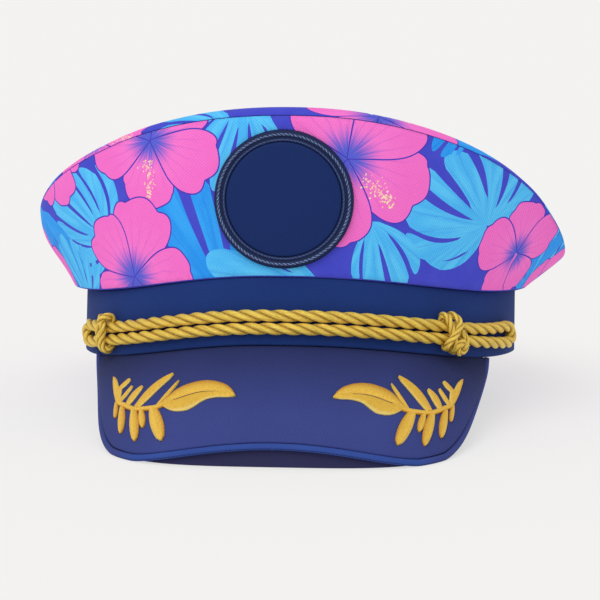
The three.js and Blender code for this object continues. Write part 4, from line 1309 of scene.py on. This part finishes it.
# Cord knots
# At each end a thinner gold cord is wound round both runs and drawn tight. Every turn is given
# by its places: along the band, up it and out from it, in mm from the middle of the knot.
knot_strand = 0.9
knot_offset = 0.7
knot_lead = 14.0
knot_rings = 90
knot_sides = 30
left_turns = [
    [(-1.0, 4.6, 1.8), (-2.0, 6.9, 3.6), (-0.4, 7.2, 5.8), (2.0, 5.4, 6.8), (3.2, 1.6, 7.0),
     (2.2, -2.4, 7.0), (2.0, -6.0, 6.4), (2.8, -7.6, 3.8), (3.0, -5.2, 1.8)],
    [(3.6, 4.6, 1.8), (4.6, 7.2, 3.4), (4.4, 7.4, 5.6), (3.0, 6.4, 7.6), (0.6, 3.4, 7.4),
     (-0.2, -1.4, 7.0), (0.2, -5.6, 6.4), (0.4, -7.2, 3.6), (0.4, -5.2, 1.8)],
]
right_turns = [
    [(-5.0, 4.6, 1.8), (-5.6, 7.4, 3.4), (-4.8, 7.0, 5.6), (-3.6, 3.6, 6.8), (-2.6, 0.0, 7.0),
     (-1.0, -4.6, 6.8), (0.0, -7.6, 5.2), (0.0, -7.0, 3.0), (0.0, -5.2, 1.8)],
    [(-1.4, 4.6, 1.8), (-1.4, 7.8, 3.4), (-0.4, 7.4, 5.8), (0.6, 3.8, 8.0), (-2.2, -0.8, 8.6),
     (-4.6, -4.2, 7.4), (-4.6, -6.6, 5.0), (-3.4, -6.2, 2.6)],
    [(1.6, 1.2, 7.2), (3.8, -1.8, 7.6), (4.8, -5.2, 7.2), (3.6, -8.0, 6.2), (0.8, -8.2, 6.6),
     (-0.4, -5.4, 8.0), (1.8, -4.0, 8.4), (2.4, -5.8, 7.6)],
]


def smooth_line(knots, steps):
    """A smooth line through a few places."""
    knots = np.asarray(knots, float)
    guide = np.vstack([2 * knots[0] - knots[1], knots, 2 * knots[-1] - knots[-2]])
    s = np.linspace(0, 1, steps, endpoint=False)[:, None]
    parts = []
    for a, b, c, d in zip(guide, guide[1:], guide[2:], guide[3:]):
        parts.append(b + s * (c - a) / 2 + s ** 2 * (a - 2.5 * b + 2 * c - d / 2)
                     + s ** 3 * (1.5 * (b - c) + (d - a) / 2))
    return np.vstack([*parts, knots[-1:]])


def joined_shells(name, shells):
    """Several closed skins, each a grid of points with open ends, as one mesh."""
    meshes = [shell_mesh(name, points, False, cloth) for points, cloth in shells]
    builder = bmesh.new()
    for mesh in meshes:
        builder.from_mesh(mesh)
        bpy.data.meshes.remove(mesh)
    whole = bpy.data.meshes.new(name)
    builder.to_mesh(whole)
    builder.free()
    return whole


def knot(name, degrees, turns, replaced):
    """One knot: each of its turns is a smooth line through its places, laid up as a cord."""
    shells = []
    middle = cord_level + band_dip(degrees)
    for places in turns:
        line = smooth_line(places, 12)
        along = degrees + line[:, 0] * degrees_per_mm
        points = head_oval(along, line[:, 2], middle + line[:, 1])
        core = head_oval(degrees, cord_off, middle)
        shells.append(laid_cord(points, lambda centre: centre - core, distances(points)[-1] / knot_lead,
                                knot_strand, knot_offset, knot_rings, knot_sides, False))
    place_piece(name, joined_shells(name, shells), [replaced], [cord_finish])


knot("left_knot", knot_left_angle, left_turns, "cord_knot_left")
knot("right_knot", knot_right_angle, right_turns, "cord_knot_right")


# Leaf sprays
# Gold thread embroidered on the peak in satin stitch over padding: one long leaf towards the
# middle and a stem with small leaves towards each side. Each half of a leaf is stitched aslant.
spray_length = 52.3
spray_out = {-1: 49.0, 1: 52.0}
spray_narrow = {-1: 1.0, 1: 0.92}
spray_down = 34.0
spray_thickness = 1.1
spray_stem_width = 0.026
spray_lift = 0.12
peak_passes = 30
# Marks the middle of the long leaf's slit, where a dark line of painted shade is drawn
slit_shade_mark = -2.0
# The long leaf: share of its length, width above and width below the midline in mm
long_leaf = np.array([(0, 0.8, 1.4), (0.1, 3.4, 6.4), (0.25, 6.2, 8.6), (0.4, 7.2, 7.8), (0.6, 7.3, 5.0),
                      (0.8, 5.6, 3.0), (0.92, 3.1, 1.8), (1, 0.2, 0.2)])
# The leaves as shares of the spray's length: root and tip (inward, up), width, and bow
spray_leaves = [
    (0.0, 0.0, 0.6, 0.047, 0.27, 0.13), (-0.045, -0.025, 0.118, 0.254, 0.03, 0.0),
    (-0.222, -0.002, 0.058, 0.352, 0.078, 0.05), (-0.312, 0.033, -0.195, 0.239, 0.055, 0.05),
    (-0.385, 0.085, -0.288, 0.258, 0.028, 0.0), (-0.411, 0.239, -0.324, 0.351, 0.038, 0.0),
    (-0.399, 0.081, -0.484, 0.392, 0.05, 0.0), (-0.413, 0.083, -0.401, -0.088, 0.033, 0.0),
    (-0.353, 0.03, -0.326, -0.269, 0.058, 0.0), (-0.243, -0.02, -0.19, -0.377, 0.074, 0.0),
    (-0.173, -0.04, -0.139, -0.242, 0.053, 0.0), (-0.077, -0.03, 0.035, -0.406, 0.1, 0.0),
]
spray_stem = [(0.03, 0.002, 0), (-0.046, -0.026, 0), (-0.16, -0.03, 0), (-0.245, -0.014, 0),
              (-0.341, 0.05, 0), (-0.4, 0.1, 0), (-0.415, 0.25, 0)]


def peak_place(x, down, off):
    """A point on the peak by its place from side to side and its distance down the slope."""
    t = x / seam_half_width
    for _ in range(peak_passes):
        share = down / np.linalg.norm(piping_line(t) - peak_seam(t), axis=-1)
        t = np.clip(t + (x - peak_face(t, share)[..., 0]) / (seam_half_width * 1.6), -0.98, 0.98)
    out = square_out(t, piping_line(t) - peak_seam(t))
    return peak_face(t, share) + out * (peak_top_wall / 2 + off)[..., None]


def stitched_shell(midline, above, below, side, slit):
    """A padded blade over a midline, its grid closed round its section."""
    steps, across = len(midline), 25
    ahead = unit(np.gradient(midline, axis=0))
    w = np.linspace(-1, 1, across)
    pad = (1 - np.abs(w) ** 2.6) ** 0.6
    s = np.linspace(0, 1, steps)
    opening = slit * np.clip(np.sin(math.pi * np.clip((s - 0.12) / 0.64, 0, 1)) * 3, 0, 1)
    pad = pad[None, :] * (1 - opening[:, None] * np.exp(-(w / 0.11) ** 2)[None, :])
    width = np.where(w > 0, above[:, None], below[:, None]) * w
    flat = midline[:, None, :] + np.stack([-ahead[:, 1], ahead[:, 0]], -1)[:, None, :] * width[..., None]
    grid = np.concatenate([flat, flat[:, -2:0:-1]], 1)
    high = spray_lift + np.concatenate([pad * spray_thickness, 0 * pad[:, -2:0:-1]], 1)
    x = side * (spray_out[side] - spray_narrow[side] * grid[..., 0])
    points = peak_place(x, spray_down - grid[..., 1], high)
    aside = np.concatenate([width, width[:, -2:0:-1]], 1)
    cloth = on_cloth(points, distances(midline)[:, None], aside, np.concatenate([w, w[-2:0:-1]]))
    cloth[opening > 0.4 * slit + 0.01, across // 2, 2] = slit_shade_mark
    return points, cloth


satin = Finish("Gold satin stitch", Roughness=0.45, Metallic=0.15)
vector, along, across, share = satin.attribute("cloth")
lay = along - across.size() * 0.55
stitch = (lay / 0.62 + satin.noise(vector, 0.9) * 0.6).wave()
fleck = satin.noise(vector, 1.8, 2.0)
pale = (stitch * 0.55 + (fleck - 0.5) * 1.1 + 0.2).over(0.0, 1.0)
body = satin.mix(pale, dye(224, 164, 40), dye(255, 218, 84))
# Painted shade: orange-brown along the blade's edge above its midline
shaded = satin.mix(share.over(0.35, 0.95) * 0.55, body, dye(190, 110, 24))
rimmed = satin.mix((0.0 - share).over(0.7, 0.95) * 0.7, shaded, dye(252, 228, 140))
# Painted shade: a dark brown line down the slit
rimmed = satin.mix((0.0 - share).over(1.1, 1.3), rimmed, dye(92, 50, 24))
satin.paint(Base_Color=rimmed)
satin.raise_up(stitch, 0.16)

leaf_edges = smooth_line(long_leaf, 12)
for side, name in ((-1, "leaf_spray_left"), (1, "leaf_spray_right")):
    shells = []
    for root_in, root_up, tip_in, tip_up, width, bow in spray_leaves:
        root = np.array([root_in, root_up]) * spray_length
        chord = np.array([tip_in, tip_up]) * spray_length - root
        s = np.linspace(0, 1, 44)[:, None]
        aside = np.array([-chord[1], chord[0]]) * bow
        midline = root + chord * s + aside * np.sin(math.pi * s ** 1.2)
        taper = np.sin(math.pi * np.minimum(1, 0.08 + 0.9 * s[:, 0])) ** 0.7
        half_width = width * spray_length / 2 * (0.3 + 0.85 * taper)
        half_width *= np.minimum(1, (1.02 - s[:, 0]) / 0.14) ** 0.5
        above, below, slit = half_width, half_width, 0.0
        if width > 0.2:
            above, below = (np.interp(s[:, 0], leaf_edges[:, 0], leaf_edges[:, k]) for k in (1, 2))
            slit = 0.85
        shells.append(stitched_shell(midline, above, below, side, slit))
    stem = smooth_line(spray_stem, 14)[:, :2] * spray_length
    stem_half = np.full(len(stem), spray_stem_width * spray_length)
    shells.append(stitched_shell(stem, stem_half, stem_half, side, 0.0))
    place_piece("stitched_" + name, joined_shells(name, shells), [name], [satin])


# Floor, light and camera
# A wide pale floor under a soft bright sky, with one broad lamp from above the camera. The
# camera stands a little to the right of the peak and looks slightly down.
floor_mesh = bpy.data.meshes.new("floor")
floor_reach = 30.0
floor_corners = [(x * floor_reach, y * floor_reach, 0) for x, y in ((-1, -1), (1, -1), (1, 1), (-1, 1))]
floor_mesh.from_pydata(floor_corners, [], [(0, 1, 2, 3)])
floor = add_object("floor", floor_mesh)
floor_finish = Finish("Pale floor", Roughness=0.95, Specular_IOR_Level=0.0,
                      Base_Color=dye(240, 240, 240, 0.36),
                      Emission_Color=dye(243, 242, 240, 0.66), Emission_Strength=1.0)
floor_mesh.materials.append(floor_finish.material)

world = bpy.data.worlds.new("Soft sky")
bpy.context.scene.world = world
world.use_nodes = True
world.node_tree.nodes["Background"].inputs["Color"].default_value = (1, 0.995, 0.985, 1)
world.node_tree.nodes["Background"].inputs["Strength"].default_value = 0.72
sun = bpy.data.lights.new("key", "SUN")
sun.energy = 1.1
sun.angle = math.radians(50)
key = add_object("key", sun)
key.rotation_euler = (math.radians(42), 0, math.radians(-24))

camera_turn = math.radians(4.5)
camera_rise = math.radians(9.4)
camera_distance = 1.1
camera_target = Vector((0, 0.00687, 0.04693))
picture_width = 600
focal_pixels = 2355
lens_data = bpy.data.cameras.new("camera")
lens_data.sensor_width = 36
lens_data.lens = focal_pixels / picture_width * lens_data.sensor_width
lens_data.clip_end = 100
camera = add_object("camera", lens_data)
back = Vector((math.sin(camera_turn) * math.cos(camera_rise),
               -math.cos(camera_turn) * math.cos(camera_rise), math.sin(camera_rise)))
camera.location = camera_target + back * camera_distance
camera.rotation_mode = "QUATERNION"
camera.rotation_quaternion = back.to_track_quat("Z", "Y")
bpy.context.scene.camera = camera
bpy.context.scene.view_settings.view_transform = "Standard"
